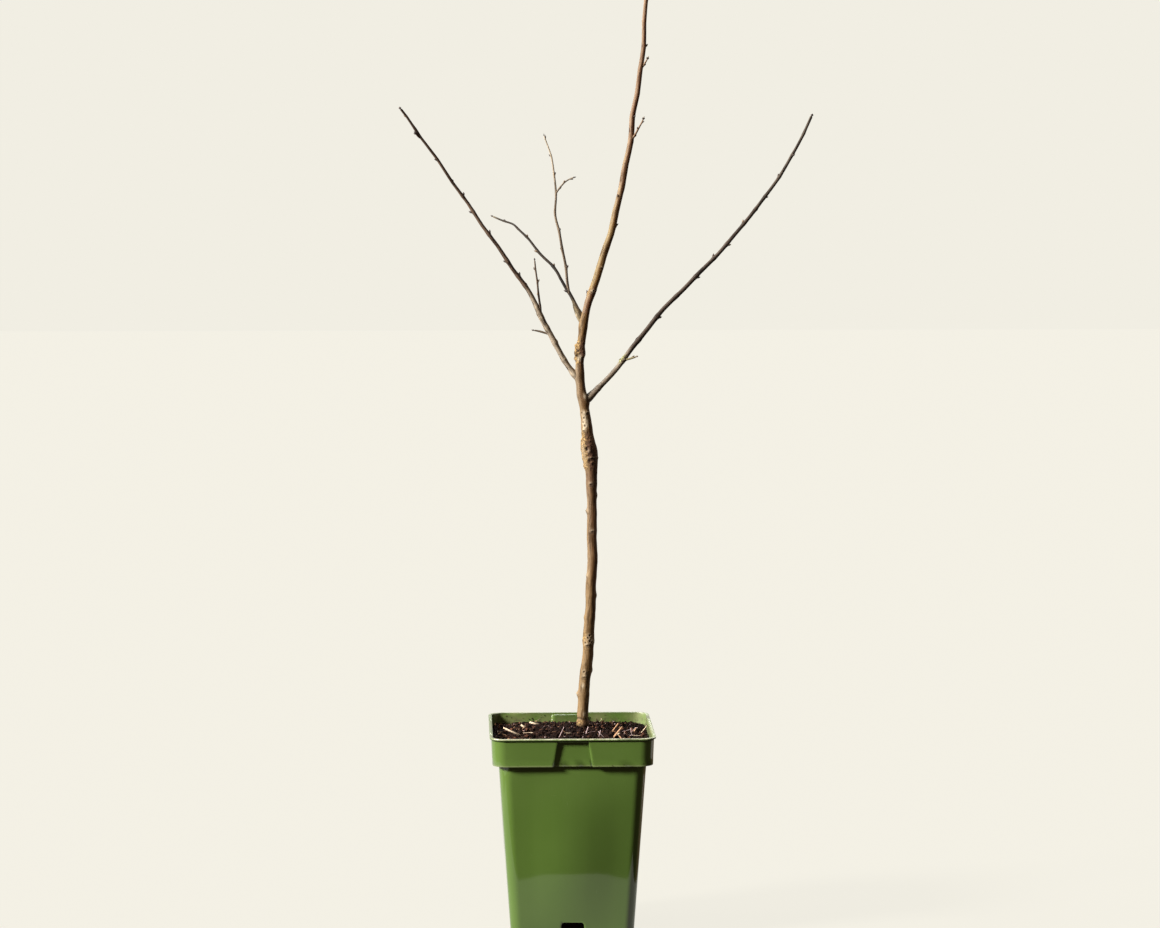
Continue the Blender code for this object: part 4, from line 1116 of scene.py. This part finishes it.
def litter(paints):
    """Flakes of bark and wood, and straws and root fibres, that lie on the soil."""
    rng = random.Random(77)
    noise.seed_set(CHIP_SEED)  # or else noise_vector would start from the clock
    flakes = [chip_template(seed) for seed in range(FLAKE_KINDS)]
    straws = [fibre_template(seed) for seed in range(STRAW_KINDS)]
    places = []
    for count, small, large in FLAKES:
        for _ in range(count):
            size = rng.uniform(small, large)
            x, y, z = soil_spot(rng, size * 0.6)
            shape = random_turn(rng, 0.7) @ Matrix.Diagonal((size, size, size))
            places.append((rng.randrange(FLAKE_KINDS), shape, (x, y, z + 0.0006 + size * 0.15),
                           deal_paint(rng, x, (2, 3, 1, 0.5), (9, 1, 0, 1), (5, 1, 0.3, 2))))
    count, small, large = STRAWS
    for _ in range(count):
        size = rng.uniform(small, large)
        x, y, z = soil_spot(rng, size * 0.55)
        stout = size * rng.uniform(0.6, 1.3)
        shape = random_turn(rng, 0.35) @ Matrix.Diagonal((size, stout, stout))
        places.append((FLAKE_KINDS + rng.randrange(STRAW_KINDS), shape, (x, y, z + 0.0016),
                       rng.choice((0, 3, 3, 2))))
    for number, (x, y, bearing, tilt, length, thick, paint) in enumerate(STICKS):
        bearing, tilt = math.radians(bearing), math.radians(tilt)
        along = Vector((math.cos(bearing) * math.cos(tilt), math.sin(bearing) * math.cos(tilt),
                        math.sin(tilt)))
        turn = along.to_track_quat("X", "Z").to_matrix()
        middle = Vector((x, y, soil_height(x, y) + 0.0002)) + along * (length / 2)
        if thick > THINNEST_CHIP:
            kind = number % FLAKE_KINDS
            size = (length, thick / CHIP_WIDTH, thick / (2 * CHIP_HALF_THICKNESS))
        else:
            kind = FLAKE_KINDS + number % STRAW_KINDS
            size = (length, length, length * 0.6)
        places.append((kind, turn @ Matrix.Diagonal(size), middle, paint))
    made = joined_copies("soil_flakes_and_fibres", flakes + straws, places)
    return finish_piece(made, [], "potting_soil", *paints)


# ---------------------------------------------------------------- wood
class Limb:
    """A smooth tapering line of wood, for many places along it at once."""

    def __init__(self, bends, foot_radius, tip_radius, node_step, first_node, sway,
                 swellings=(), taper=1.0, marks=(), node_swell=NODE_SWELL):
        self.bends = np.array(bends)
        self.reach = np.zeros(len(bends))
        self.reach[1:] = np.cumsum(np.linalg.norm(np.diff(self.bends, axis=0), axis=1))
        self.length = self.reach[-1]
        self.slopes = np.gradient(self.bends, self.reach, axis=0)
        self.foot_radius = foot_radius
        self.tip_radius = tip_radius
        self.node_step = node_step
        self.first_node = first_node
        self.sway = sway
        self.swellings = swellings
        self.taper = taper
        self.marks = marks
        self.node_swell = node_swell
        self.nodes = np.arange(first_node, self.length - NODE_HALF, node_step)
        marked = max([place for place, *_ in marks], default=0.0)
        knots = [place for place, _, kind in marks if kind != "knob"]
        self.knots = knots + [node for node in self.nodes if node > marked + node_step / 2]

    def smooth(self, places):
        """The points of the smooth line at distances from the foot."""
        places = np.asarray(places, float)
        span = np.clip(np.searchsorted(self.reach, places) - 1, 0, len(self.reach) - 2)
        width = (self.reach[span + 1] - self.reach[span])[..., None]
        t = (places[..., None] - self.reach[span][..., None]) / width
        leave, arrive = self.slopes[span] * width, self.slopes[span + 1] * width
        return (self.bends[span] * (2 * t**3 - 3 * t**2 + 1) + leave * (t**3 - 2 * t**2 + t)
                + self.bends[span + 1] * (3 * t**2 - 2 * t**3) + arrive * (t**3 - t**2))

    def heading(self, places):
        """The limb's direction at distances from its foot."""
        low = np.maximum(np.asarray(places, float) - HEADING_STEP, 0.0)
        high = np.minimum(np.asarray(places, float) + HEADING_STEP, self.length)
        along = self.smooth(high) - self.smooth(low)
        return along / np.linalg.norm(along, axis=-1, keepdims=True)

    def centre(self, places):
        """The smooth line with its zigzag: a turn one way and then the other at the nodes."""
        places = np.asarray(places, float)
        phase = (places - self.first_node) / (2 * self.node_step)
        zigzag = 4 * np.abs(phase - np.floor(phase + 0.5)) - 1
        fade = np.minimum(1.0, places / SWAY_FADE)
        aside = np.cross(self.heading(places), (0.0, 1.0, 0.0))
        aside = aside / np.linalg.norm(aside, axis=-1, keepdims=True)
        return self.smooth(places) + aside * (self.sway * zigzag * fade)[..., None]

    def radius(self, places):
        """The limb's radius with its swellings, at distances from its foot."""
        places = np.asarray(places, float)
        share = np.clip(places / self.length, 0.0, 1.0) ** self.taper
        size = self.foot_radius + (self.tip_radius - self.foot_radius) * share
        swell = sum((gain * np.exp(-((places - at) / spread) ** 2)
                     for at, gain, spread in self.swellings), np.zeros_like(places))
        knot = sum((np.exp(-((places - node) / NODE_HALF) ** 2) for node in self.knots),
                   np.zeros_like(places))
        return size * (1 + self.node_swell * knot) + swell

    def sides(self, places):
        """Two unit directions square to the limb: the first as near +X as can be."""
        along = self.heading(places)
        first = np.array((1.0, 0.0, 0.0)) - along * along[..., :1]
        first = first / np.linalg.norm(first, axis=-1, keepdims=True)
        return first, np.cross(along, first)

    def side(self, place, turn):
        """The direction that leaves the limb sideways at a turn round it."""
        first, second = self.sides(place)
        return Vector(first * math.cos(turn) + second * math.sin(turn))

    def at_height(self, height):
        """The distance from the foot at which the smooth line passes a height."""
        low, high = 0.0, self.length
        for _ in range(40):
            halfway = (low + high) / 2
            if self.smooth(halfway)[2] < height:
                low = halfway
            else:
                high = halfway
        return (low + high) / 2


def ripple(points):
    """Smooth noise at many places."""
    return np.array([noise.noise(Vector(point)) for point in points])


def smooth_step(share):
    """0 below 0, 1 above 1 and smooth in between."""
    share = np.clip(share, 0.0, 1.0)
    return share * share * (3 - 2 * share)


def wrap_gap(angle):
    """An angle brought to between minus and plus half a turn."""
    return (angle + math.pi) % math.tau - math.pi


class Skin:
    """The bark of one stretch of a limb: how far it stands out, and where it is rough or dark."""

    def __init__(self, limb, places, turns, seed, lit_side):
        self.limb = limb
        self.places = places
        self.turns = turns
        self.size = limb.radius(places)
        self.relief, self.callus, self.scar, self.pale = np.zeros((4, len(places)))
        # Painted shade: the bark is painted darker on the side turned from lit_side.
        facing = 0.5 + 0.5 * np.cos(turns - lit_side)
        self.shade = smooth_step((0.92 - facing) / 0.30)
        self.seed = seed
        self.grain = np.stack((self.size * np.cos(turns), self.size * np.sin(turns),
                               places + seed * 1.37), axis=1)

    def spot(self, place, bearing, tall, wide):
        """1 at a spot on the bark and 0 beyond it, tall along the limb and wide round it."""
        up = (self.places - place) / tall
        round_it = wrap_gap(self.turns - bearing) * self.size / wide
        return np.exp(-(up**2 + round_it**2))

    def dab(self, field, amount, place, bearing, tall, wide):
        """Add an amount to one field at a spot, whose bearing is in degrees."""
        getattr(self, field)[:] += amount * self.spot(place, math.radians(bearing), tall, wide)

    def weather(self, depth):
        """Fine streaks along the limb and a slow unevenness."""
        streaks = ripple(self.grain * (700.0, 700.0, 70.0))
        slow = ripple(self.grain * (160.0, 160.0, 45.0))
        self.relief += depth * (0.5 * streaks + 1.0 * slow)

    def ticks(self, count, start, end):
        """Short raised breathing marks that lie across the limb."""
        rng = random.Random(self.seed * 31 + 5)
        for _ in range(count):
            place, bearing = rng.uniform(start, end), rng.uniform(0.0, math.tau)
            wide, height = rng.uniform(0.0004, 0.0010), rng.uniform(0.00005, 0.00013)
            near = np.abs(self.places - place) < 0.0016
            up = (self.places[near] - place) / 0.0004
            round_it = wrap_gap(self.turns[near] - bearing) * self.size[near] / wide
            self.relief[near] += height * np.exp(-(up**2 + round_it**2))

    def mark(self, place, bearing, kind):
        """One mark: a stub of an old bud, an eye-shaped scar, a bump, a wound's knob, a bud's pad."""
        thick = float(self.limb.radius(place))
        base = min(thick, 0.0062)
        if kind in ("stub", "bump", "bud"):
            height = {"stub": 0.28, "bump": 0.13, "bud": 0.16}[kind] * base
            self.relief += height * self.spot(place, bearing, 0.55 * base, 0.50 * base)
        if kind in ("stub", "scar"):
            lid = self.spot(place - 0.42 * base, bearing, 0.13 * base, 0.42 * base)
            rim = self.spot(place + 0.05 * base, bearing, 0.38 * base, 0.45 * base)
            pit = self.spot(place - 0.10 * base, bearing, 0.13 * base, 0.24 * base)
            self.relief += base * (0.11 * rim - 0.07 * lid - 0.17 * pit)
            self.scar += 0.9 * pit + 0.55 * lid
            self.pale += 0.5 * np.clip(rim - 1.6 * pit, 0.0, 1.0)
        if kind == "eye":
            rim = self.spot(place, bearing, 0.36 * base, 0.32 * base)
            pit = self.spot(place, bearing, 0.18 * base, 0.17 * base)
            self.relief += base * (0.12 * rim - 0.28 * pit)
            self.scar += 0.9 * pit
            self.pale += 0.60 * np.clip(rim - 1.5 * pit, 0.0, 1.0)
        if kind == "patch":
            size = self.spot(place, bearing, 0.0026, 0.0015)
            self.pale += 0.85 * size
            self.relief += 0.0002 * size
        if kind == "crust":
            zone = self.spot(place, bearing, 0.0048, 0.0040)
            near = zone > 0.02
            self.relief[near] += 0.0007 * zone[near] * (1 + 1.5 * ripple(self.grain[near] * 420.0))
            self.callus += 1.4 * zone
        if kind == "knob":
            self.relief += 0.34 * base * self.spot(place, bearing, 0.42 * base, 0.42 * base)
            self.relief -= 0.12 * base * self.spot(place + 0.5 * base, bearing + 0.3,
                                                   0.12 * base, 0.3 * base)
            self.callus += 1.1 * self.spot(place, bearing, 0.75 * base, 0.80 * base)
            self.scar += 0.8 * self.spot(place + 0.5 * base, bearing + 0.3, 0.14 * base,
                                         0.30 * base)

    def heal(self, start, end, depth, bearing, share):
        """Rough healed wood between two places, as at a graft, most of it round one side."""
        along = (1 / (1 + np.exp(-(self.places - start) / HEALED_FADE))
                 / (1 + np.exp((self.places - end) / HEALED_FADE)))
        side = 0.5 + 0.5 * np.cos(self.turns - bearing)
        zone = along * (1.0 - share * smooth_step((0.72 - side) / 0.5))
        rough = (ripple(self.grain * (330.0, 330.0, 210.0))
                 + 0.6 * ripple(self.grain * (760.0, 760.0, 420.0)))
        self.relief += depth * rough * zone
        self.callus += zone * np.clip(0.95 + 0.9 * rough, 0.0, 1.0)
        self.scar += 0.5 * zone * np.clip(-rough - 0.45, 0.0, 1.0) * 2.0


def wrap_grid(name, limb, start, end, sides, step, seed, dress=None, round_tip=False,
              tones=((0.0, 0.0), (1.0, 0.0)), lit_side=PAINTED_LIT_SIDE):
    """A grid bent round a stretch of a limb, welded along its seam and closed at its ends.

    dress shapes the stretch's Skin. tones lists (place along the limb, share of the other
    colours) pairs. lit_side is the bearing of the side painted as lit.
    """
    rings = max(int(round((end - start) / step)), 3)
    deselect()
    bpy.ops.mesh.primitive_grid_add(x_subdivisions=sides, y_subdivisions=rings, size=1.0)
    made = fresh(name)
    mesh = made.data
    flat = np.empty(len(mesh.vertices) * 3, np.float32)
    mesh.vertices.foreach_get("co", flat)
    flat = flat.reshape(-1, 3).astype(float) + 0.5
    turns = flat[:, 0] * math.tau
    shares = np.round(flat[:, 1] * rings) / rings
    places = start + shares * (end - start)
    skin = Skin(limb, places, turns, seed, lit_side)
    skin.tone = np.interp(places, *zip(*tones))
    if dress:
        dress(skin)
    size = skin.size + skin.relief
    if round_tip:
        left = (end - places) / (skin.size * 1.4)
        size *= np.sqrt(np.clip(1 - (1 - np.clip(left, 0.0, 1.0)) ** 2, 0.03, 1.0))
    first, second = limb.sides(places)
    points = (limb.centre(places) + first * (np.cos(turns) * size)[:, None]
              + second * (np.sin(turns) * size)[:, None])
    mesh.vertices.foreach_set("co", points.astype(np.float32).ravel())
    grain = mesh.attributes.new("grain", "FLOAT_VECTOR", "POINT")
    grain.data.foreach_set("vector", skin.grain.astype(np.float32).ravel())
    for key in ("callus", "scar", "pale", "shade", "tone"):
        values = np.clip(getattr(skin, key), 0.0, 1.0)
        mesh.attributes.new(key, "FLOAT", "POINT").data.foreach_set(
            "value", values.astype(np.float32))
    with editing(made):
        choose_all()
        bpy.ops.mesh.remove_doubles(threshold=SEAM_WELD)
        bpy.ops.mesh.select_mode(type="EDGE")
        bpy.ops.mesh.select_all(action="DESELECT")
        bpy.ops.mesh.select_non_manifold(extend=False)
        bpy.ops.mesh.fill_holes(sides=0)
    smooth_by_angle(made, CRAGGY_EDGE)
    return made


def spur_line(limb, place, aim, length, bend):
    """Points of a short side twig that leaves a limb along aim and bends to the sky."""
    direction = Vector(aim).normalized()
    count = max(3, round(length / SPUR_STEP))
    points = [Vector(limb.centre(place))]
    for step in range(count):
        bent = (direction + UP * (bend * step / count)).normalized()
        points.append(points[-1] + bent * (length / count))
    return points


def clear_of_limbs(points, own, limbs):
    """Whether a twig keeps to its mass's space and touches no other limb."""
    for point in points[1:]:
        if (point - points[0]).length > TWIG_SPACE:
            return False
        for limb in limbs.values():
            if limb is own:
                continue
            places = np.linspace(0.0, limb.length, TOUCH_STEPS)
            gaps = np.linalg.norm(limb.smooth(places) - np.array(point), axis=1)
            if np.any(gaps < limb.radius(places) + LIMB_MARGIN):
                return False
    return True


def bud_at(limb, place, turn, length):
    """A bud's foot, direction, length and width on the side of a limb."""
    out = limb.side(place, turn)
    thick = float(limb.radius(place))
    direction = Vector(limb.heading(place)) * math.cos(BUD_LEAN) + out * math.sin(BUD_LEAN)
    foot = Vector(limb.centre(place)) + out * max(thick * BUD_SINK, thick - BUD_ROOT)
    return foot, direction, length, min(2.5 * BUD_RADIUS, 0.0008 + 1.2 * thick)


def tip_bud(limb, length):
    """The slim bud that ends a twig: where it starts, and its bud."""
    tip = limb.length - length * 0.65
    width = max(2.3 * float(limb.radius(tip)), 0.0014)
    return tip, (Vector(limb.centre(tip)), Vector(limb.heading(tip)), length, width)


def bud_template(rings):
    """A bud 1 long and about 0.5 wide, whose scales overlap in steps."""
    deselect()
    bpy.ops.mesh.primitive_circle_add(vertices=8, radius=rings[0][1], fill_type="NGON")
    bud = fresh("bud")
    with editing(bud):
        choose_all()
        for (low, before), (high, after) in zip(rings, rings[1:]):
            lift(high - low, after / before)
        turn_faces()
    for vertex in bud.data.vertices:
        vertex.co.x += 0.04 * math.sin(vertex.co.z * math.pi) * vertex.co.z
    return take_template(bud)


BUD_TEMPLATE_WIDTH = 0.53
BUD_RINGS = ((0.0, 0.17), (0.12, 0.235), (0.26, 0.265), (0.40, 0.262), (0.43, 0.235),
             (0.56, 0.225), (0.66, 0.185), (0.69, 0.160), (0.82, 0.110), (0.93, 0.055),
             (1.0, 0.012))


def model_buds(name, buds, paints):
    """All the buds in one mesh. Each is a (foot, direction, length, width)."""
    rng = random.Random(len(buds))
    stock = [bud_template(BUD_RINGS)]
    places = []
    for foot, direction, length, width in buds:
        turn = direction.to_track_quat("Z", "Y").to_matrix()
        spin = Matrix.Rotation(rng.uniform(0.0, math.tau), 3, "Z")
        plump = width / BUD_TEMPLATE_WIDTH * rng.uniform(0.9, 1.1)
        shape = turn @ spin @ Matrix.Diagonal((plump, plump, length * rng.uniform(0.95, 1.1)))
        places.append((0, shape, foot, rng.choices(range(2), (5, 1))[0]))
    made = joined_copies(name, stock, places)
    return finish_piece(made, [], "twig_bark", *paints)


def dress_stem(skin):
    """The trunk and leader: weathered bark, every mark, the graft and the old wound."""
    skin.weather(0.00034)
    skin.ticks(300, 0.0, 0.62)
    for place, bearing, kind in STEM_MARKS:
        skin.mark(place, math.radians(bearing), kind)
    for start, end, depth, bearing, share in STEM_HEALED:
        skin.heal(start, end, depth, math.radians(bearing), share)
    for spot in STEM_SPOTS:
        skin.dab(*spot)
    for place, bearing, size in WOUND_HOLLOWS:
        skin.dab("scar", 1.2, place, bearing, size, size)
        skin.dab("relief", -0.0004, place, bearing, size, size)

    # The ring where the graft's two barks meet, round its front.
    wave = 0.2975 - 0.0012 * np.sin(skin.turns)
    front = smooth_step(0.30 + np.cos(skin.turns - math.radians(318)))
    ring = np.exp(-((skin.places - wave) / 0.0009) ** 2) * front
    skin.relief += 0.00060 * ring
    skin.pale += 0.35 * ring
    skin.scar += 0.3 * front * np.exp(-((skin.places - wave + 0.0018) / 0.0008) ** 2)

    # The crease and the damp bark just above the soil.
    crease = np.exp(-((skin.places - 0.0068 - 0.0010 * np.sin(skin.turns * 2)) / 0.0011) ** 2)
    skin.relief -= 0.00035 * crease
    skin.scar += 0.75 * crease + 0.7 * np.clip(1.0 - skin.places / 0.003, 0.0, 1.0)
    skin.callus += 0.9 * smooth_step((0.0065 - skin.places) / 0.003)

    # Less painted shade at the fork and the foot, and more round the front of the graft and under it.
    fork = smooth_step((skin.places - 0.352) / 0.012) * smooth_step((0.412 - skin.places) / 0.010)
    foot = smooth_step((0.175 - skin.places) / 0.03)
    front = skin.spot(0.3030, math.radians(286), 0.0170, 0.0068)
    under = skin.spot(0.2745, math.radians(275), 0.0110, 0.0085)
    skin.shade += 0.80 * front + 0.60 * under - 0.10 * fork - 0.34 * foot


def dress_bough(limb):
    """A bough's own bark: streaks, breathing marks and its marks."""
    def dress(skin):
        skin.weather(0.00014)
        skin.ticks(70, 0.0, limb.length)
        for place, bearing, kind in limb.marks:
            skin.mark(place, math.radians(bearing), kind)
    return dress


def dress_twig(limb, pads):
    """A twig's own bark: slight streaks, and a pad under each bud."""
    def dress(skin):
        skin.weather(0.00004)
        for place, turn in pads:
            skin.relief += 0.00030 * skin.spot(place - 0.0006, turn, 0.0009, 0.0008)
            skin.scar += 0.6 * skin.spot(place - 0.0014, turn, 0.0003, 0.0006)
    return dress


def grow_twigs(name, own, start, limbs, seed, first_turn, spurs, buds, young=YOUNG_SHARE):
    """One twig mass: its stem from start, and a bud or a side twig at each of its nodes.

    spurs maps a node's number, counted from start, to the side twig's (aim, length, bend).
    A side twig is carried on to its own small buds. young is the share of its length after
    which the stem changes to its tip's colours.
    """
    rng = random.Random(seed)
    pads, twigs = [], []
    nodes = [node for node in own.nodes if start + NODE_HALF < node < own.length - NODE_HALF]
    for number, node in enumerate(nodes):
        turn = first_turn + NODE_TURN * number + rng.uniform(-TURN_JITTER, TURN_JITTER)
        length = rng.uniform(*BUD_LENGTH)
        if number in spurs:
            points = spur_line(own, node, *spurs[number])
            if clear_of_limbs(points, own, limbs):
                foot_radius = min(SPUR_RADIUS, float(own.radius(node)) * SPUR_SHARE)
                spur = Limb(points, foot_radius, SPUR_TIP_RADIUS, **SPUR)
                twigs.append(grow_spur(f"{name}_spur_{number}", spur, seed + number, buds))
            continue
        bud = bud_at(own, node, turn, length)
        if clear_of_limbs([bud[0], bud[0] + bud[1] * length], own, limbs):
            buds.append(bud)
            pads.append((node, turn))
    tip, bud = tip_bud(own, BUD_LENGTH[0])
    buds.append(bud)
    change = start + young * (tip - start)
    stem = wrap_grid(name, own, start, tip, TWIG_SIDES, TWIG_STEP, seed,
                     dress_twig(own, pads), round_tip=True,
                     tones=((start, 0.0), (change, 0.0), (tip, 1.0)))
    return join(f"{name}_wood", [stem] + twigs)


def grow_spur(name, spur, seed, buds):
    """A short side twig with small buds at its nodes and one at its tip."""
    pads = []
    for number, node in enumerate(spur.nodes):
        turn = 0.7 + NODE_TURN * number
        buds.append(bud_at(spur, node, turn, BUD_LENGTH[0]))
        pads.append((node, turn))
    tip, bud = tip_bud(spur, BUD_LENGTH[0])
    buds.append(bud)
    for turn in (0.6, 3.4):
        buds.append(bud_at(spur, tip - 0.0008, turn, 0.8 * BUD_LENGTH[0]))
    return wrap_grid(name, spur, 0.0, tip, SPUR_SIDES, SPUR_RING_STEP, seed,
                     dress_twig(spur, pads), round_tip=True,
                     tones=((0.0, 0.0), (tip, 0.25)))


def model_tree(paints, bud_paints):
    """The trunk, the leader, the boughs, their twigs and all the buds."""
    stem = Limb(**MAIN_STEM)
    upright = Limb(**UPRIGHT_TWIG)
    limbs = {name: Limb(**limb) for name, limb, *_ in BOUGHS}
    limbs.update(main_stem=stem, upright=upright)
    fork = stem.at_height(FORK_HEIGHT)
    leader_end = stem.at_height(LEADER_END_HEIGHT)
    buds = []
    for limb in limbs.values():
        for place, bearing, kind in limb.marks:
            if kind == "bud":
                buds.append(bud_at(limb, place, math.radians(bearing), BUD_LENGTH[1]))

    trunk = wrap_grid("trunk_wood", stem, TRUNK_SUNK, fork, TRUNK_SIDES, WOOD_STEP, 1,
                      dress_stem, tones=STEM_TONES)
    finish_piece(trunk, ["trunk"], "trunk_bark", paints["trunk"])
    leader = wrap_grid("leader_wood", stem, fork, leader_end, LEADER_SIDES, WOOD_STEP, 1,
                       dress_stem, tones=LEADER_TONES)
    finish_piece(leader, ["leader"], "bough_bark", paints["leader"])
    twigs = grow_twigs("leader_twigs", stem, leader_end, limbs, LEADER_SEED, LEADER_TURN,
                       LEADER_SPURS, buds)
    finish_piece(twigs, ["leader_twigs"], "twig_bark", paints["leader_twigs"])

    for number, (name, _, end_height, seed, first_turn, spurs) in enumerate(BOUGHS):
        limb, old_end = limbs[name], OLD_BARK_ENDS[name]
        end = limb.at_height(end_height)
        bough = wrap_grid(f"{name}_wood", limb, 0.0, end, BOUGH_SIDES, WOOD_STEP, 2 + number,
                          dress_bough(limb),
                          tones=((old_end, 1.0), (old_end + OLD_BARK_FADE, 0.0)),
                          lit_side=LIT_SIDES.get(name, PAINTED_LIT_SIDE))
        finish_piece(bough, [name], "bough_bark", paints[name])
        twigs = grow_twigs(f"{name}_twigs", limb, end, limbs, seed, first_turn, spurs, buds)
        finish_piece(twigs, [f"{name}_twigs"], "twig_bark", paints[f"{name}_twigs"])

    twigs = grow_twigs("upright_twigs", upright, 0.0, limbs, UPRIGHT_SEED, UPRIGHT_TURN,
                       UPRIGHT_SPURS, buds)
    finish_piece(twigs, ["upright_twigs"], "twig_bark", paints["upright_twigs"])
    for name, carrier_name, height, aim, length, bend, seed in SIDE_TWIGS:
        carrier = limbs[carrier_name]
        points = spur_line(carrier, carrier.at_height(height), aim, length, bend)
        twigs = grow_twigs(name, Limb(points, **SIDE_TWIG), 0.0, limbs, seed, SIDE_TURN, {}, buds,
                           SIDE_YOUNG_SHARE)
        finish_piece(twigs, [name], "twig_bark", paints[name])
    model_buds("buds", buds, bud_paints)


# ---------------------------------------------------------------- stage
def sun(name, bearing, height, strength, spread, colour):
    """A far light. Its bearing is counted from the front, and grows to the left."""
    data = bpy.data.lights.new(name, "SUN")
    data.energy = strength
    data.angle = math.radians(spread)
    data.color = colour
    bearing, height = math.radians(bearing), math.radians(height)
    source = Vector((-math.sin(bearing) * math.cos(height), -math.cos(bearing) * math.cos(height),
                     math.sin(height)))
    add_object(name, data).rotation_euler = source.to_track_quat("Z", "Y").to_euler()


def floor_piece(name, left, right, near, far):
    """A flat stretch of pale floor, most of whose brightness is its own."""
    deselect()
    bpy.ops.mesh.primitive_plane_add(size=1.0)
    floor = fresh(name)
    for vertex in floor.data.vertices:
        vertex.co = (left if vertex.co.x < 0 else right, near if vertex.co.y < 0 else far, 0.0)
    material = bpy.data.materials.new(name)
    wire = bare_wire(material)
    light = wire.node("ShaderNodeEmission", (), {"Color": CREAM, "Strength": FLOOR_GLOW})
    matt = wire.node("ShaderNodeBsdfDiffuse", (), {"Color": tuple(c * FLOOR_DULL for c in CREAM)})
    both = wire.node("ShaderNodeAddShader", (), {0: light, 1: matt})
    wire.node("ShaderNodeOutputMaterial", (), {"Surface": both})
    floor.data.materials.append(material)
    floor.visible_diffuse = False
    return floor


def set_stage():
    """A pale floor, a plain pale backdrop, a soft key light from the left and weak fill."""
    for name, left, right, near, far, mirrored in (
            ("floor_near", FLOOR_LEFT, -FLOOR_EDGE, FLOOR_EDGE, FLOOR_REAR, True),
            ("floor_front", -FLOOR_WIDE, FLOOR_WIDE, FLOOR_FRONT, FLOOR_EDGE, False),
            ("floor_back", -FLOOR_WIDE, FLOOR_WIDE, FLOOR_REAR, FLOOR_BACK, False),
            ("floor_left", -FLOOR_WIDE, FLOOR_LEFT, FLOOR_EDGE, FLOOR_REAR, False),
            ("floor_right", -FLOOR_EDGE, FLOOR_WIDE, FLOOR_EDGE, FLOOR_REAR, False)):
        floor_piece(name, left, right, near, far).visible_glossy = mirrored
    for light in SUNS:
        sun(*light)

    world = bpy.data.worlds.new("studio")
    bpy.context.scene.world = world
    wire = bare_wire(world)
    rays = wire.node("ShaderNodeLightPath").socket.node
    seen = Wire(wire.tree, rays.outputs["Is Camera Ray"])
    mirrored = Wire(wire.tree, rays.outputs["Is Glossy Ray"])
    x, y, z = wire.node("ShaderNodeTexCoord", out="Generated").axes()
    dim = z.between(-0.1, 0.8).blend((0.078, 0.054, 0.036), (0.145, 0.128, 0.102))
    side = x.between(0.15, 0.60)
    backdrop = side.blend((0.80, 0.78, 0.70), (0.34, 0.21, 0.13))
    behind = mirrored * y.between(-0.05, 0.35)
    tone = seen.blend(behind.blend(dim, backdrop), CREAM)
    glow = wire.node("ShaderNodeBackground", (), {"Color": tone, "Strength": 1.0})
    wire.node("ShaderNodeOutputWorld", (), {"Surface": glow})

    view = bpy.context.scene.view_settings
    view.view_transform = "Standard"
    view.look = "None"
    view.exposure = 0.0
    view.gamma = 1.0


def set_camera():
    """A long lens that looks slightly down on the plant from the front."""
    data = bpy.data.cameras.new("camera")
    data.lens = LENS
    data.sensor_fit = "HORIZONTAL"
    data.sensor_width = SENSOR_WIDTH
    data.clip_start, data.clip_end = NEAREST, FARTHEST
    camera = add_object("camera", data)
    camera.location = CAMERA_AT
    aim = Vector(CAMERA_AIM) - Vector(CAMERA_AT)
    camera.rotation_euler = aim.to_track_quat("-Z", "Y").to_euler()
    bpy.context.scene.camera = camera


# ---------------------------------------------------------------- the whole plant
set_camera()
model_pot([pot_plastic("pot_plastic", False), pot_plastic("pot_plastic_inside", True)])
peat = [soil_paint("peat_dark", (0.0036, 0.0015, 0.0011), (0.020, 0.0085, 0.0060)),
        soil_paint("peat_brown", (0.022, 0.0088, 0.0054), (0.108, 0.048, 0.030)),
        soil_paint("peat_red", (0.050, 0.018, 0.010), (0.175, 0.070, 0.040))]
model_soil_bed(peat[0])
crumbs(peat)
litter([soil_paint("flake_brown", (0.10, 0.05, 0.028), (0.26, 0.13, 0.065)),
        soil_paint("flake_tan", (0.30, 0.16, 0.085), (0.50, 0.31, 0.19)),
        soil_paint("straw", (0.42, 0.32, 0.22), (0.70, 0.57, 0.42)),
        soil_paint("root_fibre", (0.25, 0.17, 0.165), (0.50, 0.39, 0.39))])

barks = {piece: bark(piece.replace("_bough_twigs", "_twigs").removesuffix("s") + "_bark", *colours)
         for piece, colours in BARK_COLOURS.items()}
bud_paints = [bud_paint("bud_brown", (0.015, 0.008, 0.005), (0.055, 0.029, 0.019)),
              bud_paint("bud_tan", (0.09, 0.055, 0.030), (0.20, 0.13, 0.075))]
model_tree(barks, bud_paints)
set_stage()
